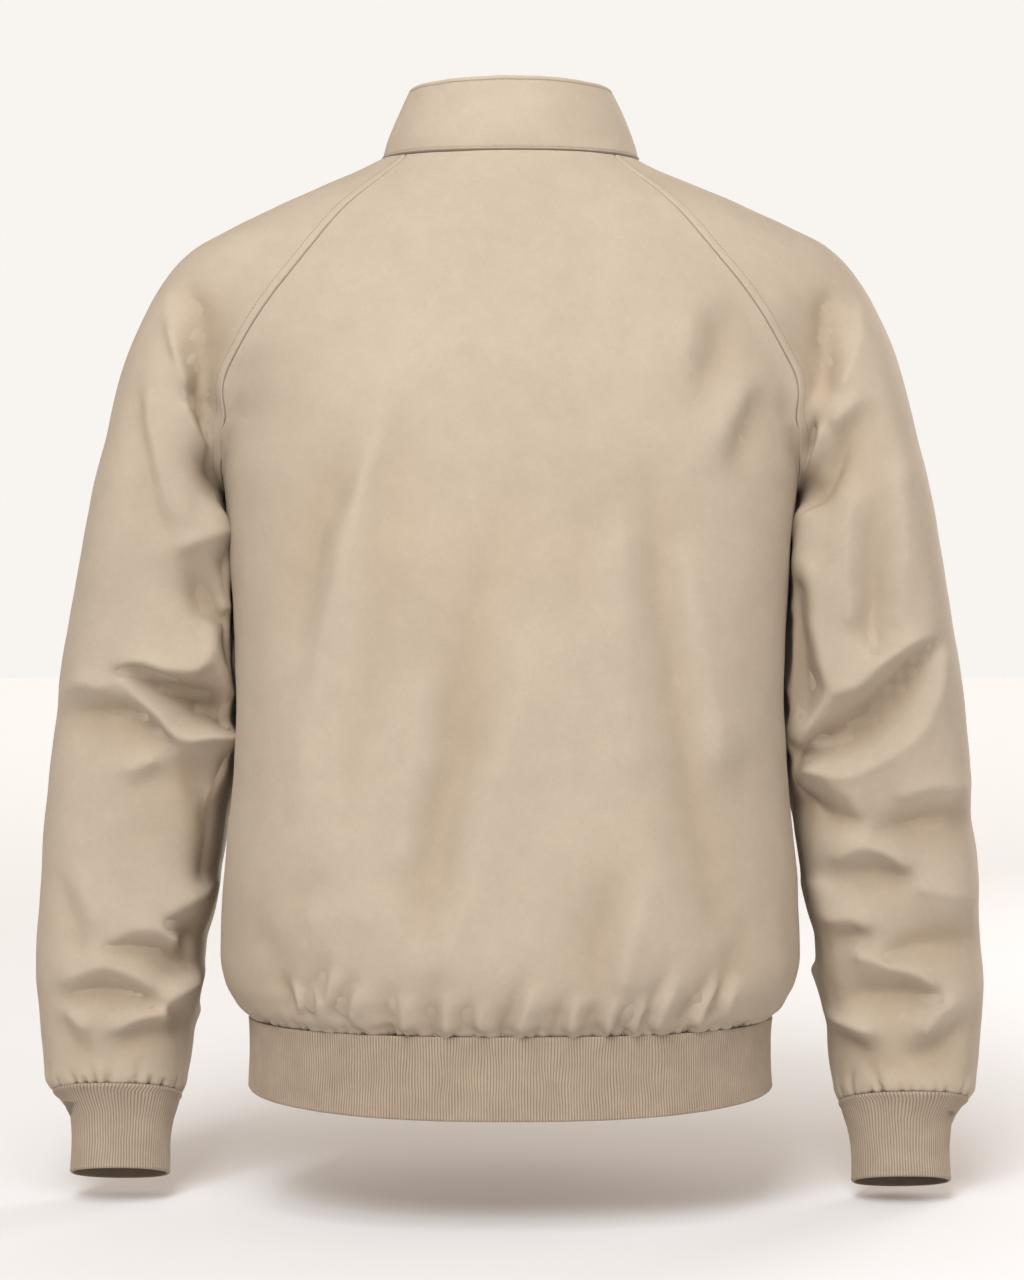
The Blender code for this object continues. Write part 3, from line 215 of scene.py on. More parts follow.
# Fold lines of the sleeves and the body, as seen from behind: points (x, z, height) along each, crests above
# 0 and valleys below. The cloth runs flat between neighbouring lines and levels out further away.
# The back has them as they are here, and the front has them mirrored and less high.
FOLDS = {
    "sleeve": (
        ((235, -95, -2.9), (228, -103, -8.7), (224, -116, -13), (220, -134, -15.9), (217, -155, -17.4),
         (215, -172, -14.5)),
        ((245, -101, 0.6), (241, -122, 1.7), (233, -145, 2.9), (225, -165, 2.9)),
        ((245, -120, -1.4), (242, -136, -4.1), (238, -148, -1.7)),
        ((227, -170, -4.3), (221, -175, -13), (214, -186, -17.4), (210, -201, -14.5)),
        ((227, -179, 2.9), (220, -194, 4.3), (213, -208, 1.4)),
        ((204, -215, -14.5), (201, -227, -17.4)),
        ((269, -151, -1.4), (263, -177, -4.3), (260, -203, -4.6), (254, -229, -4.6), (247, -257, -4.1),
         (240, -274, -1.7)),
        ((255, -174, 1.4), (249, -210, 2.6), (238, -245, 2.9), (226, -266, 2.3)),
        ((232, -277, 2.9), (220, -272, 6.4), (205, -267, 7), (197, -266, 2.9)),
        ((230, -286, -2.9), (221, -303, -9.9), (210, -320, -15.9), (200, -328, -17.4)),
        ((200, -286, -7.2), (198, -293, -8.7)),
        ((254, -315, 2.9), (238, -333, 4.6), (221, -347, 7.2)),
        ((212, -336, 7.2), (210, -348, 8.7), (205, -364, 8.7), (199, -374, 5.8), (193, -386, -2.9)),
        ((204, -325, 2.9), (195, -320, 0)),
        ((198, -341, -11.6), (197, -359, -17.4), (195, -376, -11.6)),
        ((276, -362, 4.3), (268, -357, 10.4), (256, -359, 13.3), (243, -364, 14.5), (229, -364, 15.7),
         (219, -357, 14.5), (214, -347, 11.6)),
        ((275, -365, -2.9), (265, -367, -10.4), (252, -372, -16.2), (238, -378, -20.9), (223, -384, -23.2),
         (210, -397, -26.1), (200, -403, -26.1)),
        ((274, -372, 2.9), (262, -385, 6.4), (250, -397, 8.7), (238, -410, 10.2), (224, -413, 11.6),
         (208, -411, 11.6), (196, -413, 5.8)),
        ((316, -379, 3.5), (300, -375, 7), (285, -378, 5.8)),
        ((319, -397, -5.8), (303, -396, -11.6), (286, -396, -13.3), (268, -401, -14.5), (252, -408, -13.3),
         (241, -414, -5.8)),
        ((241, -429, -5.8), (232, -435, -10.4), (221, -446, -13.9), (214, -467, -11.6), (212, -491, -8.7),
         (216, -516, -8.7)),
        ((200, -428, -8.7), (203, -449, -11.6)),
        ((271, -434, 1.7), (254, -427, 4.1)),
        ((272, -448, -2.9), (257, -444, -5.2), (243, -438, -7)),
        ((271, -483, -2.9), (254, -482, -4.1), (236, -474, -4.1)),
        ((324, -513, -2.3), (316, -537, -5.2), (306, -562, -5.2)),
        ((309, -516, 1.4), (296, -544, 2.9)),
        ((243, -541, 4.6), (230, -529, 7), (217, -521, 4.3)),
        ((243, -548, -5.8), (233, -553, -11.6), (221, -559, -14.5)),
        ((282, -557, 3.5), (267, -549, 5.8), (250, -550, 7), (234, -558, 5.8)),
        ((283, -565, -4.6), (268, -565, -10.4), (250, -569, -14.5), (234, -575, -15.7), (226, -577, -11.6)),
        ((317, -587, 3.5), (303, -579, 5.8), (288, -575, 6.4), (269, -580, 5.8), (255, -590, 2.9)),
        ((322, -603, -4.6), (307, -597, -9.9), (291, -594, -12.2), (274, -596, -11.6), (258, -603, -9.9),
         (251, -605, -5.8)),
        ((243, -601, 4.6), (232, -591, 7), (219, -584, 4.3)),
        ((242, -609, -5.8), (234, -617, -11.6), (224, -625, -12.8)),
        ((281, -620, 2.9), (264, -612, 5.8), (250, -609, 5.8), (237, -614, 2.9)),
        ((285, -628, -4.6), (268, -626, -9.9), (250, -623, -11.6), (234, -627, -9.9), (226, -631, -5.8)),
        ((323, -613, -2.9), (316, -625, -7), (303, -636, -8.1), (296, -638, -4.3)),
        ((316, -608, 2.3), (303, -620, 3.5)),
        ((292, -641, -3.5), (284, -637, -5.8), (276, -642, -2.9)),
        ((-233, -93, -2.9), (-227, -104, -10.4), (-224, -123, -15.9), (-221, -146, -17.4),
         (-218, -169, -14.5)),
        ((-248, -104, 0.6), (-246, -125, 2.3), (-239, -145, 3.5), (-231, -166, 3.5)),
        ((-219, -196, 7), (-214, -213, 7), (-206, -228, 0)),
        ((-214, -198, -14.5), (-210, -208, -17.4), (-207, -218, -14.5)),
        ((-252, -182, -2.9), (-243, -195, -8.1), (-231, -210, -11.6), (-221, -227, -14.5),
         (-212, -245, -14.5)),
        ((-241, -177, 3.5), (-229, -191, 5.2)),
        ((-263, -200, -2.3), (-258, -245, -5.2), (-255, -287, -7.5), (-255, -322, -8.7), (-257, -348, -6.4)),
        ((-275, -224, 1.7), (-277, -287, 3.5), (-274, -329, 5.2)),
        ((-239, -245, 2.3), (-236, -287, 4.1), (-239, -329, 5.8)),
        ((-205, -284, 2.9), (-212, -297, 7), (-213, -308, 7), (-213, -329, 6.4), (-218, -354, 7.5),
         (-226, -377, 9.9), (-221, -390, 9.3), (-212, -405, 8.7), (-205, -418, 4.3)),
        ((-203, -305, -5.8), (-205, -344, -11.6), (-208, -379, -14.5), (-208, -396, -11.6)),
        ((-297, -341, 4.3), (-285, -343, 10.4), (-272, -351, 12.8), (-259, -360, 13.3), (-245, -372, 13.9),
         (-231, -379, 11.6)),
        ((-302, -348, -2.9), (-292, -358, -11), (-279, -374, -15.7), (-262, -391, -18.6),
         (-241, -411, -20.3), (-219, -422, -21.8), (-202, -430, -20.3)),
        ((-306, -353, 3.5), (-301, -379, 7), (-288, -408, 8.7), (-262, -429, 9.9), (-233, -439, 9.9),
         (-208, -435, 7.2)),
        ((-327, -451, 2.9), (-302, -448, 5.8), (-278, -455, 5.8)),
        ((-262, -482, -5.8), (-278, -477, -12.2), (-299, -473, -13.9), (-328, -472, -11.6)),
        ((-227, -444, 7.2), (-240, -451, 7), (-245, -465, 2.9)),
        ((-205, -459, -11.6), (-218, -465, -12.8), (-232, -470, -10.4), (-243, -472, -5.8)),
        ((-233, -499, 3.5), (-250, -491, 6.4), (-266, -495, 6.4), (-280, -504, 2.9)),
        ((-224, -513, -4.6), (-241, -511, -8.7), (-257, -510, -11), (-274, -512, -11), (-287, -515, -4.3)),
        ((-267, -570, -5.8), (-284, -563, -12.2), (-306, -560, -14.5), (-332, -559, -11.6)),
        ((-291, -521, 4.1), (-310, -525, 4.6), (-329, -529, 2.3)),
        ((-226, -564, -5.8), (-238, -558, -9.9), (-248, -554, -9.9), (-255, -563, -4.3)),
        ((-219, -517, 4.1), (-231, -544, 5.8), (-243, -541, 5.2), (-252, -548, 2.9)),
        ((-248, -569, 5.2), (-267, -574, 6.4), (-287, -581, 6.4), (-302, -591, 2.9)),
        ((-231, -610, -5.8), (-241, -601, -11), (-257, -596, -13.9), (-279, -596, -13.9),
         (-295, -599, -11.6), (-307, -602, -5.8)),
        ((-276, -642, -5.8), (-290, -639, -12.2), (-306, -634, -12.8), (-322, -622, -8.7)),
        ((-319, -600, 3.5), (-305, -608, 5.8), (-294, -622, 5.2)),
        ((-231, -613, 4.6), (-243, -617, 5.8), (-255, -621, 4.1)),
        ((-233, -626, -9.9), (-243, -633, -12.2), (-253, -636, -10.4), (-262, -632, -4.3)),
        ((-252, -656, -4.6), (-260, -651, -7.5), (-273, -650, -7.5), (-286, -653, -4.1)),
    ),
    "body": (
        ((108, -215, -3.6), (121, -242, -9.6), (134, -276, -10.6), (143, -317, -7.2), (149, -350, -2.4)),
        ((93, -209, 2.4), (107, -263, 5.8), (119, -317, 6.7), (134, -384, 6.7), (142, -451, 5.8),
         (149, -478, 2.4)),
        ((77, -182, -2.4), (84, -236, -6.2), (89, -290, -7.2), (93, -337, -4.8), (107, -404, -3.6),
         (115, -445, -2.4)),
        ((-1, -222, -1.9), (7, -276, -5.8), (21, -317, -7.2), (31, -370, -9.6), (37, -424, -10.6),
         (47, -472, -10.6), (54, -519, -8.6), (58, -539, -4.8)),
        ((-1, -376, -2.4), (18, -403, -6.2), (33, -424, -9.6)),
        ((61, -377, 2.4), (68, -438, 3.8), (74, -492, 3.4)),
        ((-20, -344, 1.9), (4, -411, 4.3), (21, -478, 5.3), (34, -532, 5.8), (48, -563, 4.8)),
        ((-62, -222, -1.9), (-52, -276, -4.8), (-43, -323, -3.8)),
        ((-74, -276, 2.4), (-78, -357, 3.4), (-87, -424, 2.9)),
        ((-97, -229, -3.8), (-102, -290, -7.7), (-111, -350, -7.7), (-121, -411, -8.2), (-131, -472, -8.6),
         (-143, -526, -7.2), (-150, -552, -3.6)),
        ((-121, -290, 2.4), (-132, -357, 3.8), (-143, -424, 3.8)),
        ((-153, -118, -3.8), (-143, -147, -9.1), (-134, -176, -5.8)),
        ((-174, -176, -5.8), (-166, -201, -7.2), (-155, -223, -4.8)),
        ((-160, -168, 2.9), (-149, -192, 5.8), (-141, -209, 3.8)),
        ((-128, -114, 2.4), (-120, -148, 2.9)),
        ((179, -148, -2.4), (180, -168, -3.8), (182, -195, -2.4)),
        ((-77, -501, -3.4), (-67, -532, -8.2), (-61, -573, -9.6)),
        ((-93, -505, 2.4), (-82, -539, 5.3), (-71, -576, 7.2)),
        ((128, -509, -2.4), (147, -522, -3.8), (154, -539, -2.4)),
        ((135, -536, 3.8), (108, -527, 4.3), (88, -539, 2.9)),
        ((-168, -424, -2.4), (-156, -451, -4.3)),
        ((178, -536, -4.8), (170, -556, -7.2), (158, -576, -7.2)),
        ((-171, -522, -3.8), (-163, -549, -7.2), (-153, -569, -7.2)),
    ),
}
# Sharp gathers above the hem: a valley's four points (x, z), and how far beside the last three its crest is.
SHARP_GATHERS = (
    ((124, -552), (126, -566), (128, -576), (130, -587), (-7, -6, -6)),
    ((142, -572), (139, -583), (137, -590), (135, -600), (-7, -7, -6)),
    ((108, -565), (110, -579), (112, -588), (113, -599), (-8, -6, -6)),
    ((80, -572), (79, -587), (79, -597), (78, -608), (-7, -7, -6)),
    ((52, -563), (51, -583), (50, -598), (50, -609), (-7, -6, -6)),
    ((27, -582), (28, -593), (29, -600), (29, -610), (-7, -6, -6)),
    ((-13, -557), (-7, -579), (-1, -597), (3, -608), (-7, -6, -6)),
    ((-41, -572), (-37, -588), (-33, -600), (-31, -610), (-8, -6, -6)),
    ((-63, -572), (-61, -587), (-58, -598), (-57, -609), (-7, -6, -6)),
    ((-87, -575), (-83, -589), (-78, -598), (-75, -609), (-7, -6, -6)),
    ((-112, -552), (-103, -574), (-95, -593), (-91, -604), (-8, -6, -6)),
    ((-140, -561), (-132, -579), (-124, -593), (-119, -604), (-7, -6, -6)),
    ((-156, -565), (-149, -578), (-143, -588), (-139, -598), (-8, -6, -6)),
    ((161, -569), (156, -579), (151, -586), (149, -597), (-7, -6, -7)),
)
VALLEY_HEIGHTS, CREST_HEIGHTS = (-0.4, -4.4, -7, -7.9), (0.9, 4, 4.8)
FRONT_SHARE = 0.75
# The fold field: its cells and limits, how soon it levels out, and how often crests and valleys are smoothed.
FIELD_CELL = 1.5
FIELD_FROM, FIELD_TO = np.array([-366.0, -702.0]), np.array([366.0, 20.0])
FIELD_REACH = {"sleeve": 21.0, "body": 30.0, "gather": 11.0}
FIELD_SMOOTHING = {"sleeve": (3, 12), "body": (12, 26), "gather": (3, 6)}
# How firmly a line holds the skin, and how deep a valley is that has the whole of the second smoothing.
FIELD_GRIP, VALLEY_SOFT = 2.5, 5.0
FIELD_SWEEPS = 90
FOLD_WANDER = 0.7
CREASE_FADE = 12.0
# Within about this far of a raglan seam both its sides move the same way, and each row of the grid below the
# underarm counts as this much further away from it.
SHARED_REACH, ROW_AWAY = 9.0, 3.6
# Folds have their full height this far from a raglan seam and from the zip, and this share of it at a rib.
FULL_FROM_SEAM, FULL_FROM_ZIP, FOLD_AT_RIB = 14.0, 30.0, 0.6
# The seeds and the wavelength of the chance that makes fold lines wander by FOLD_WANDER, in X and in Z.
WANDER_SEEDS, WANDER_WAVELENGTH = (61, 62), 42.0
# Soft swells all over the cloth: the seed, wavelength and height of the broad and the fine ones.
CLOTH_SWELLS = ((5, 95.0, 0.45), (15, 38.0, 0.13))
COLLAR_SWELLS = ((21, 60.0, 0.5), (22, 24.0, 0.16))

# Small gathers: mean spacing, depth, how far up they reach, and the seed of their chance differences.
GATHERS = {
    "back": (9.5, 3.6, 17.0, 11),
    "front_left": (9.5, 3.6, 17.0, 12),
    "front_right": (9.5, 3.6, 17.0, 13),
    "sleeve_left": (11.0, 3.4, 17.0, 14),
    "sleeve_right": (11.0, 3.4, 17.0, 15),
}
# Chance in the gathers: their lengths as shares of their reach (the shortest, how much longer, and how rare
# the long ones are), their depths and spacings as shares of the mean, how far they lean, and their widths at
# the seam and how they widen above it.
GATHER_SHORTEST, GATHER_LONGER, GATHER_RARITY = 0.45, 1.5, 2.5
GATHER_DEPTHS, GATHER_SPACINGS, GATHER_LEAN = (0.35, 1.35), (0.4, 1.6), 0.22
GATHER_WIDTHS, GATHER_WIDENS = (1.3, 2.0), 0.17
# How far the cloth rolls out above the rib, at which height, and how far it hangs over it.
BLOUSE_OUT, BLOUSE_AT, BLOUSE_REACH = 1.3, 8.0, 6.0
OVERHANG, OVERHANG_REACH = 1.1, 2.6
# A gather's valley hangs less by this share for each millimetre of its depth.
GATHER_LIFTS = 0.3
# The inner wall stands further in above a rib, to clear the gathers.
INNER_CLEAR, INNER_CLEAR_REACH = 2.6, 14.0

# The rib knit: how many ribs, points across each, and how high they stand.
HEM_RIBS, CUFF_RIBS = 540, 104
POINTS_A_RIB = 6
RIB_HEIGHT = 0.42
# A band's rows next to its seam and its lower edge, how far it tucks in at the seam, and the faint line above
# its edge.
RIB_TOP_STEPS, RIB_EDGE_STEPS = np.array([0, 0.5, 1.2, 2.2, 3.6]), np.array([3.0, 2.0, 1.1, 0.4, 0])
RIB_TUCK, RIB_LINE_DEPTH, RIB_LINE_AT = 0.55, 0.28, 3.4
# The rows between: how far from the seam and from the edge, and how many.
RIB_MIDDLE_FROM, RIB_MIDDLE_TO, RIB_MIDDLE_ROWS = 6.0, 4.4, 8
# Soft waves of the ribs along the band and out of it: wavelength and height. Then the steps down and inward
# that round the lower edge over.
RIB_SWAY, RIB_SWELL = (22.0, 0.35), (30.0, 0.22)
RIB_ROUNDING = ((0.35, 0.15), (0.75, 0.6), (0.95, 1.2))

# Stitches: pitch, length and thickness, how high their middle stands and how deep their ends dive.
STITCH_PITCH, STITCH_LENGTH, STITCH_RADIUS, COLLAR_STITCH_RADIUS = 2.6, 1.9, 0.24, 0.36
STITCH_RISE, STITCH_DIVE = 0.22, 0.10

# Zip, measured inward from the outside of the cloth.
TOOTH_PITCH, TOOTH_LENGTH, TOOTH_WIDTH, TOOTH_DEPTH = 2.5, 1.15, 3.6, (0.9, 3.1)
# A tooth's tip reaches this far over the middle and has this share of the tooth's length. Its crown has
# TOOTH_CROWN of the length, above a chamfer.
TOOTH_OVER, TOOTH_TIP, TOOTH_CROWN, TOOTH_CHAMFER = 0.7, 0.5, 0.75, 0.35
TAPE_EDGE, TAPE_EDGE_DEPTH = (0.2, 3.0), (2.4, 3.05)
# How far from the zip line's upper and lower ends the teeth and the tapes' edges stop.
TEETH_FROM, TEETH_TO = 7.5, 9.5
TAPE_FROM, TAPE_TO, TAPE_ROWS = 6.5, 9.0, 160

# Camera: its place, and the focal length in pixels of the 1024x1280 frame.
CAMERA_AT = (0.0, 2.2, -0.3435)
FOCAL_PIXELS, FRAME_HEIGHT = 3055.6, 1280
# The object's centre line lies this many pixels left of the frame's.
CENTRE_OFF_PIXELS = 1.5
SENSOR = 36.0
FLOOR_Z = -0.7445
FLOOR_COLOUR = (0.605, 0.627, 0.664, 1.0)
# The floor's glow: its colour at the middle and far away, and the distance over which it changes. Far out it
# keeps the floor evenly bright where the lamps fade; the warm glow at the middle is painted bounce light, the
# jacket's colour lit into the shadow under it.
GLOW_NEAR_PAINTED_BOUNCE, GLOW_FAR, GLOW_REACH = (0.13, 0.08, 0.04, 1.0), (0.74, 0.705, 0.665, 1.0), 2.6
# The world's strength: two limits of a direction's Y with the strength at each, behind the jacket and on the
# camera's side, and two of its Z with the share of it at each, near the horizon and overhead.
WORLD_COLOUR, WORLD_SHADE = (1.0, 0.975, 0.95, 1.0), (1.0, 0.84, 0.68, 1.0)
WORLD_DEPTH = (-0.94, -0.3, 0.94, 0.58)
WORLD_HEIGHT = (0.22, 0.6, 1.0, 0.45)
LIT_POINT = (0.0, 0.0, -0.3)
# Each lamp: its name, place, size, power, spread in degrees and colour.
LAMPS = (
    ("key", (1.0, 4.3, 3.2), 2.2, 240.0, 180, (0.985, 0.99, 1.0)),
    ("top", (0.3, 1.4, 2.4), 1.4, 38.0, 180, (0.985, 0.99, 1.0)),
    ("fill", (-2.0, 3.0, 0.0), 1.6, 20.0, 180, (0.98, 0.99, 1.0)),
    ("front", (-2.4, -3.2, 0.3), 1.6, 14.0, 60, (1.0, 0.99, 0.975)),
)


# ---------------------------------------------------------------- curves and tables


def curve_through(xs, ys, samples=4000):
    """A smooth curve through the points that never overshoots them (monotone cubic), read from samples."""
    order = np.argsort(xs)
    xs, ys = np.asarray(xs, float)[order], np.asarray(ys, float)[order]
    step = np.diff(xs)
    slope = np.diff(ys) / step
    tangent = np.concatenate([[slope[0]], np.zeros(len(xs) - 2), [slope[-1]]])
    for i in range(1, len(xs) - 1):
        if slope[i - 1] * slope[i] > 0:
            before, after = 2 * step[i] + step[i - 1], step[i] + 2 * step[i - 1]
            tangent[i] = (before + after) / (before / slope[i - 1] + after / slope[i])
    fine = np.linspace(xs[0], xs[-1], samples)
    i = np.clip(np.searchsorted(xs, fine) - 1, 0, len(step) - 1)
    t = (fine - xs[i]) / step[i]
    rise = step[i] * (t * (1 - t) ** 2 * tangent[i] - t**2 * (1 - t) * tangent[i + 1])
    values = ys[i] + (ys[i + 1] - ys[i]) * t * t * (3 - 2 * t) + rise
    return lambda x: np.interp(x, fine, values)


def profiles(columns, rows):
    """One curve over the first column for each other column."""
    table = np.array(rows, float)
    return {name: curve_through(table[:, 0], table[:, i]) for i, name in enumerate(columns) if i}


TORSO = profiles(TORSO_COLUMNS, TORSO_SECTIONS)
SLEEVE = profiles(SLEEVE_COLUMNS, SLEEVE_SECTIONS)
CUFF = profiles(CUFF_COLUMNS, CUFF_SECTIONS)
BLEND_RADIUS = profiles(BLEND_COLUMNS, BLEND)["radius"]


def smooth(t):
    """0 to 1 with level ends."""
    t = np.clip(t, 0, 1)
    return t * t * (3 - 2 * t)


def bell(t):
    """1 in the middle, fading to 0 on both sides."""
    return np.exp(-(t**2))


def lengths(line):
    """How far along the line each of its points is."""
    return np.concatenate([[0], np.cumsum(np.linalg.norm(np.diff(line, axis=0), axis=1))])


def table_at(at, places, table):
    """The table's rows where its places are at."""
    return np.stack([np.interp(at, places, table[:, k]) for k in range(table.shape[1])], axis=-1)


def read_at(line, at):
    """The line's points at these distances along it."""
    return table_at(at, lengths(line), line)


def resampled(line, count):
    """The line as this many points, evenly spaced."""
    return read_at(line, np.linspace(0, lengths(line)[-1], count))


def unit(v):
    """The vectors with length 1."""
    return v / np.maximum(np.linalg.norm(v, axis=-1, keepdims=True), 1e-12)


def spaced(total, count, first, last, near=SEAM_STEPS):
    """Distances from 0 to total, with close ones next to the ends that lie on a seam."""
    head = near if first else near[:1]
    tail = total - near[::-1] if last else np.array([total])
    middle = count - len(head) - len(tail)
    return np.concatenate([head, np.linspace(head[-1], tail[0], middle + 2)[1:-1], tail])


# ---------------------------------------------------------------- the form the cloth hangs on


def signed_power(share, power):
    """How far a superellipse reaches where a circle reaches this share, on the same side."""
    return np.sign(share) * np.abs(share) ** power


def section_distance(x, y, half_width, half_depth, square):
    """How far a point is outside a level section, measured from the section's centre. Below 0 inside."""
    share = (np.abs(x / half_width) ** square + np.abs(y / half_depth) ** square) ** (1 / square)
    return np.hypot(x, y) * (1 - 1 / np.maximum(share, 1e-6))


def torso_depth(z, behind):
    """How far the torso's section reaches behind or in front of its sides."""
    side = TORSO["side"](z)
    return np.where(behind, TORSO["back"](z) - side, side - TORSO["front"](z))


def torso_point(z, angle):
    """The torso's surface at a height and an angle: 0 at the wearer's left, a quarter turn at the back."""
    power = 2 / TORSO["square"](z)
    across, along = np.cos(angle), np.sin(angle)
    x = TORSO["half_width"](z) * signed_power(across, power)
    y = TORSO["side"](z) + torso_depth(z, along > 0) * signed_power(along, power)
    return np.stack([x, y, z + 0 * x], axis=-1)


def torso_distance(p):
    z = p[..., 2]
    x, y = p[..., 0], p[..., 1] - TORSO["side"](z)
    return section_distance(x, y, TORSO["half_width"](z), torso_depth(z, y > 0), TORSO["square"](z))


def sag(z, side):
    """How much lower this side's sleeve hangs at z than its table says."""
    return HANG[side] * smooth((HANG_STARTS_Z - z) / (HANG_STARTS_Z - HANG_FULL_Z))


def sleeve_axis(z, side):
    """The sleeve's centre, half width and half depth in the level section at z."""
    z = z + sag(z, side)
    outer, inner = SLEEVE["outer"](z), SLEEVE["inner"](z)
    return SIGN[side] * (outer + inner) / 2, SLEEVE["middle"](z), (outer - inner) / 2, SLEEVE["depth"](z)


def sleeve_square(z, across):
    """The exponent of the section's corners, squarer where across is towards the body."""
    inner = FLATTENED[1] * smooth((INNER_FLAT_FROM_Z - z) / INNER_FLAT_GROWS)
    more = np.where(across < 0, inner, FLATTENED[0]) * smooth((FLAT_FROM_Z - z) / FLAT_GROWS)
    return SLEEVE_SQUARE + more * smooth((z - SLEEVE_END_Z) / FLAT_FADES)


def sleeve_point(z, angle, side):
    """The sleeve's surface: angle 0 at its outer side, a quarter turn at the back."""
    x, y, half_width, half_depth = sleeve_axis(z, side)
    across, along = np.cos(angle), np.sin(angle)
    power = 2 / sleeve_square(z, across)
    x = x + SIGN[side] * half_width * signed_power(across, power)
    y = y + half_depth * signed_power(along, power)
    return np.stack([x, y, z + 0 * x], axis=-1)


def sleeve_distance(p, side):
    x, y, half_width, half_depth = sleeve_axis(p[..., 2], side)
    x, y = p[..., 0] - x, p[..., 1] - y
    return section_distance(x, y, half_width, half_depth, sleeve_square(p[..., 2], SIGN[side] * x))


def form_distance(p):
    """Below 0 inside the form that torso and sleeves make together, here the same on both sides."""
    mirrored_p = np.stack([np.abs(p[..., 0]), p[..., 1], p[..., 2]], axis=-1)
    side_of = sleeve_distance(mirrored_p, "left")
    torso = torso_distance(p)
    radius = BLEND_RADIUS(p[..., 2])
    share = np.clip(0.5 + 0.5 * (side_of - torso) / radius, 0, 1)
    return side_of + (torso - side_of) * share - radius * share * (1 - share)


def form_slope(p, reach=0.5):
    """The direction in which the form's distance grows fastest, and how fast."""
    steps = np.eye(3) * reach
    return np.stack([form_distance(p + s) - form_distance(p - s) for s in steps], axis=-1) / (2 * reach)


def onto_form(p, rounds=8):
    """Points near the form moved onto it."""
    for _ in range(rounds):
        slope = form_slope(p)
        p = p - slope * (form_distance(p) / np.maximum((slope**2).sum(-1), 0.05))[..., None]
    return p


def out_to_form(start, towards, reach=180.0, stride=3.0):
    """Where rays from inside the form first leave it: found in strides, then by halving."""
    low = np.zeros(towards.shape[:-1])
    going = np.ones(low.shape, bool)
    for distance in np.arange(stride, reach, stride):
        inside = form_distance(start + towards * distance) < 0
        going &= inside
        low = np.where(going, distance, low)
    high = low + stride
    for _ in range(18):
        middle = (low + high) / 2
        inside = form_distance(start + towards * middle[..., None]) < 0
        low, high = np.where(inside, middle, low), np.where(inside, high, middle)
    return start + towards * low[..., None]


# ---------------------------------------------------------------- seams


def oval(angle, half_width, back, side, front):
    """A collar or neck line: angle 0 is the back, half a turn is the front."""
    swing = np.cos(angle)
    behind = swing > 0
    y = np.where(behind, side[0] + (back[0] - side[0]) * swing, side[0] - (front[0] - side[0]) * swing)
    drop = swing**2
    z = np.where(behind, side[1] + (back[1] - side[1]) * drop, side[1] + (front[1] - side[1]) * drop)
    return np.stack([half_width * np.sin(angle), y, z], axis=-1)


def neck_line(angle):
    return onto_form(oval(angle, NECK_HALF_WIDTH, NECK_BACK, NECK_SIDE, NECK_FRONT))


def neck_angle(x, front):
    """The angle at which the neck seam is x from the centre line."""
    angle = math.asin(min(1.0, float(x) / NECK_HALF_WIDTH))
    return math.pi - angle if front else angle


def torso_angle(x, z, front):
    """The angle at which the torso's section at z is x wide."""
    share = np.clip(np.abs(x) / TORSO["half_width"](z), 0, 1) ** (TORSO["square"](z) / 2)
    angle = np.arccos(share)
    return -angle if front else angle


def raglan(table, front, fine=900):
    """A raglan seam of the left side, laid on the form as fine points."""
    line = np.array(table, float)
    along = lengths(line)
    at = np.linspace(0, along[-1], fine)
    x, z = curve_through(along, line[:, 0])(at), curve_through(along, line[:, 1])(at)
    return onto_form(torso_point(z, torso_angle(x, z, front)))


def crossing(line, start, top):
    """Where a line crosses the plane along Y through two points: the point before it, and the place."""
    across = top - start[[0, 2]]
    off = (line[:, [0, 2]] - start[[0, 2]]) @ np.array([-across[1], across[0]])
    flip = np.flatnonzero(np.diff(np.sign(off)))[0]
    share = off[flip] / (off[flip] - off[flip + 1])
    return flip, line[flip] * (1 - share) + line[flip + 1] * share


def cap_seams():
    """Where the left cap's rows start on the back seam, end on the front seam, and top the shoulder."""
    back = resampled(raglan(BACK_RAGLAN, False), RAW_CAP_ROWS + 1)
    tops = resampled(np.array(SHOULDER_LINE, float), RAW_CAP_ROWS + 1)
    fine = raglan(FRONT_RAGLAN, True)
    met = [crossing(fine, back[j], tops[j]) for j in range(FIRST_RAY, LAST_RAY + 1)]
    points = np.array([point for _, point in met])
    above = resampled(np.concatenate([fine[: met[0][0] + 1], points[:1]]), FIRST_RAY + 1)
    below = resampled(np.concatenate([points[-1:], fine[met[-1][0] + 1 :]]), RAW_CAP_ROWS - LAST_RAY + 1)
    front = np.concatenate([above[:-1], points, below[1:]])
    front[0] = neck_line(np.float64(neck_angle(front[0][0], True)))
    back[0] = neck_line(np.float64(neck_angle(back[0][0], False)))
    front[-1] = back[-1]
    return back, front, tops


def mirrored(points):
    return points * np.array([-1.0, 1.0, 1.0])


def ends_set(row, first=None, last=None, reach=0.25):
    """The row with its ends moved exactly to given points, and its neighbours moved less and less."""
    t = np.linspace(0, 1, len(row))[:, None]
    if first is not None:
        row = row + smooth(1 - t / reach) * (first - row[0])
    if last is not None:
        row = row + smooth(1 - (1 - t) / reach) * (last - row[-1])
    return row


# ---------------------------------------------------------------- panels as grids of points on the form


def angle_of(point, front):
    return float(torso_angle(point[0], point[2], front))


def levels(top, bottom):
    """Heights from top to bottom, the first left out."""
    return np.linspace(top, bottom, int((top - bottom) / RAW_STEP) + 1)[1:]


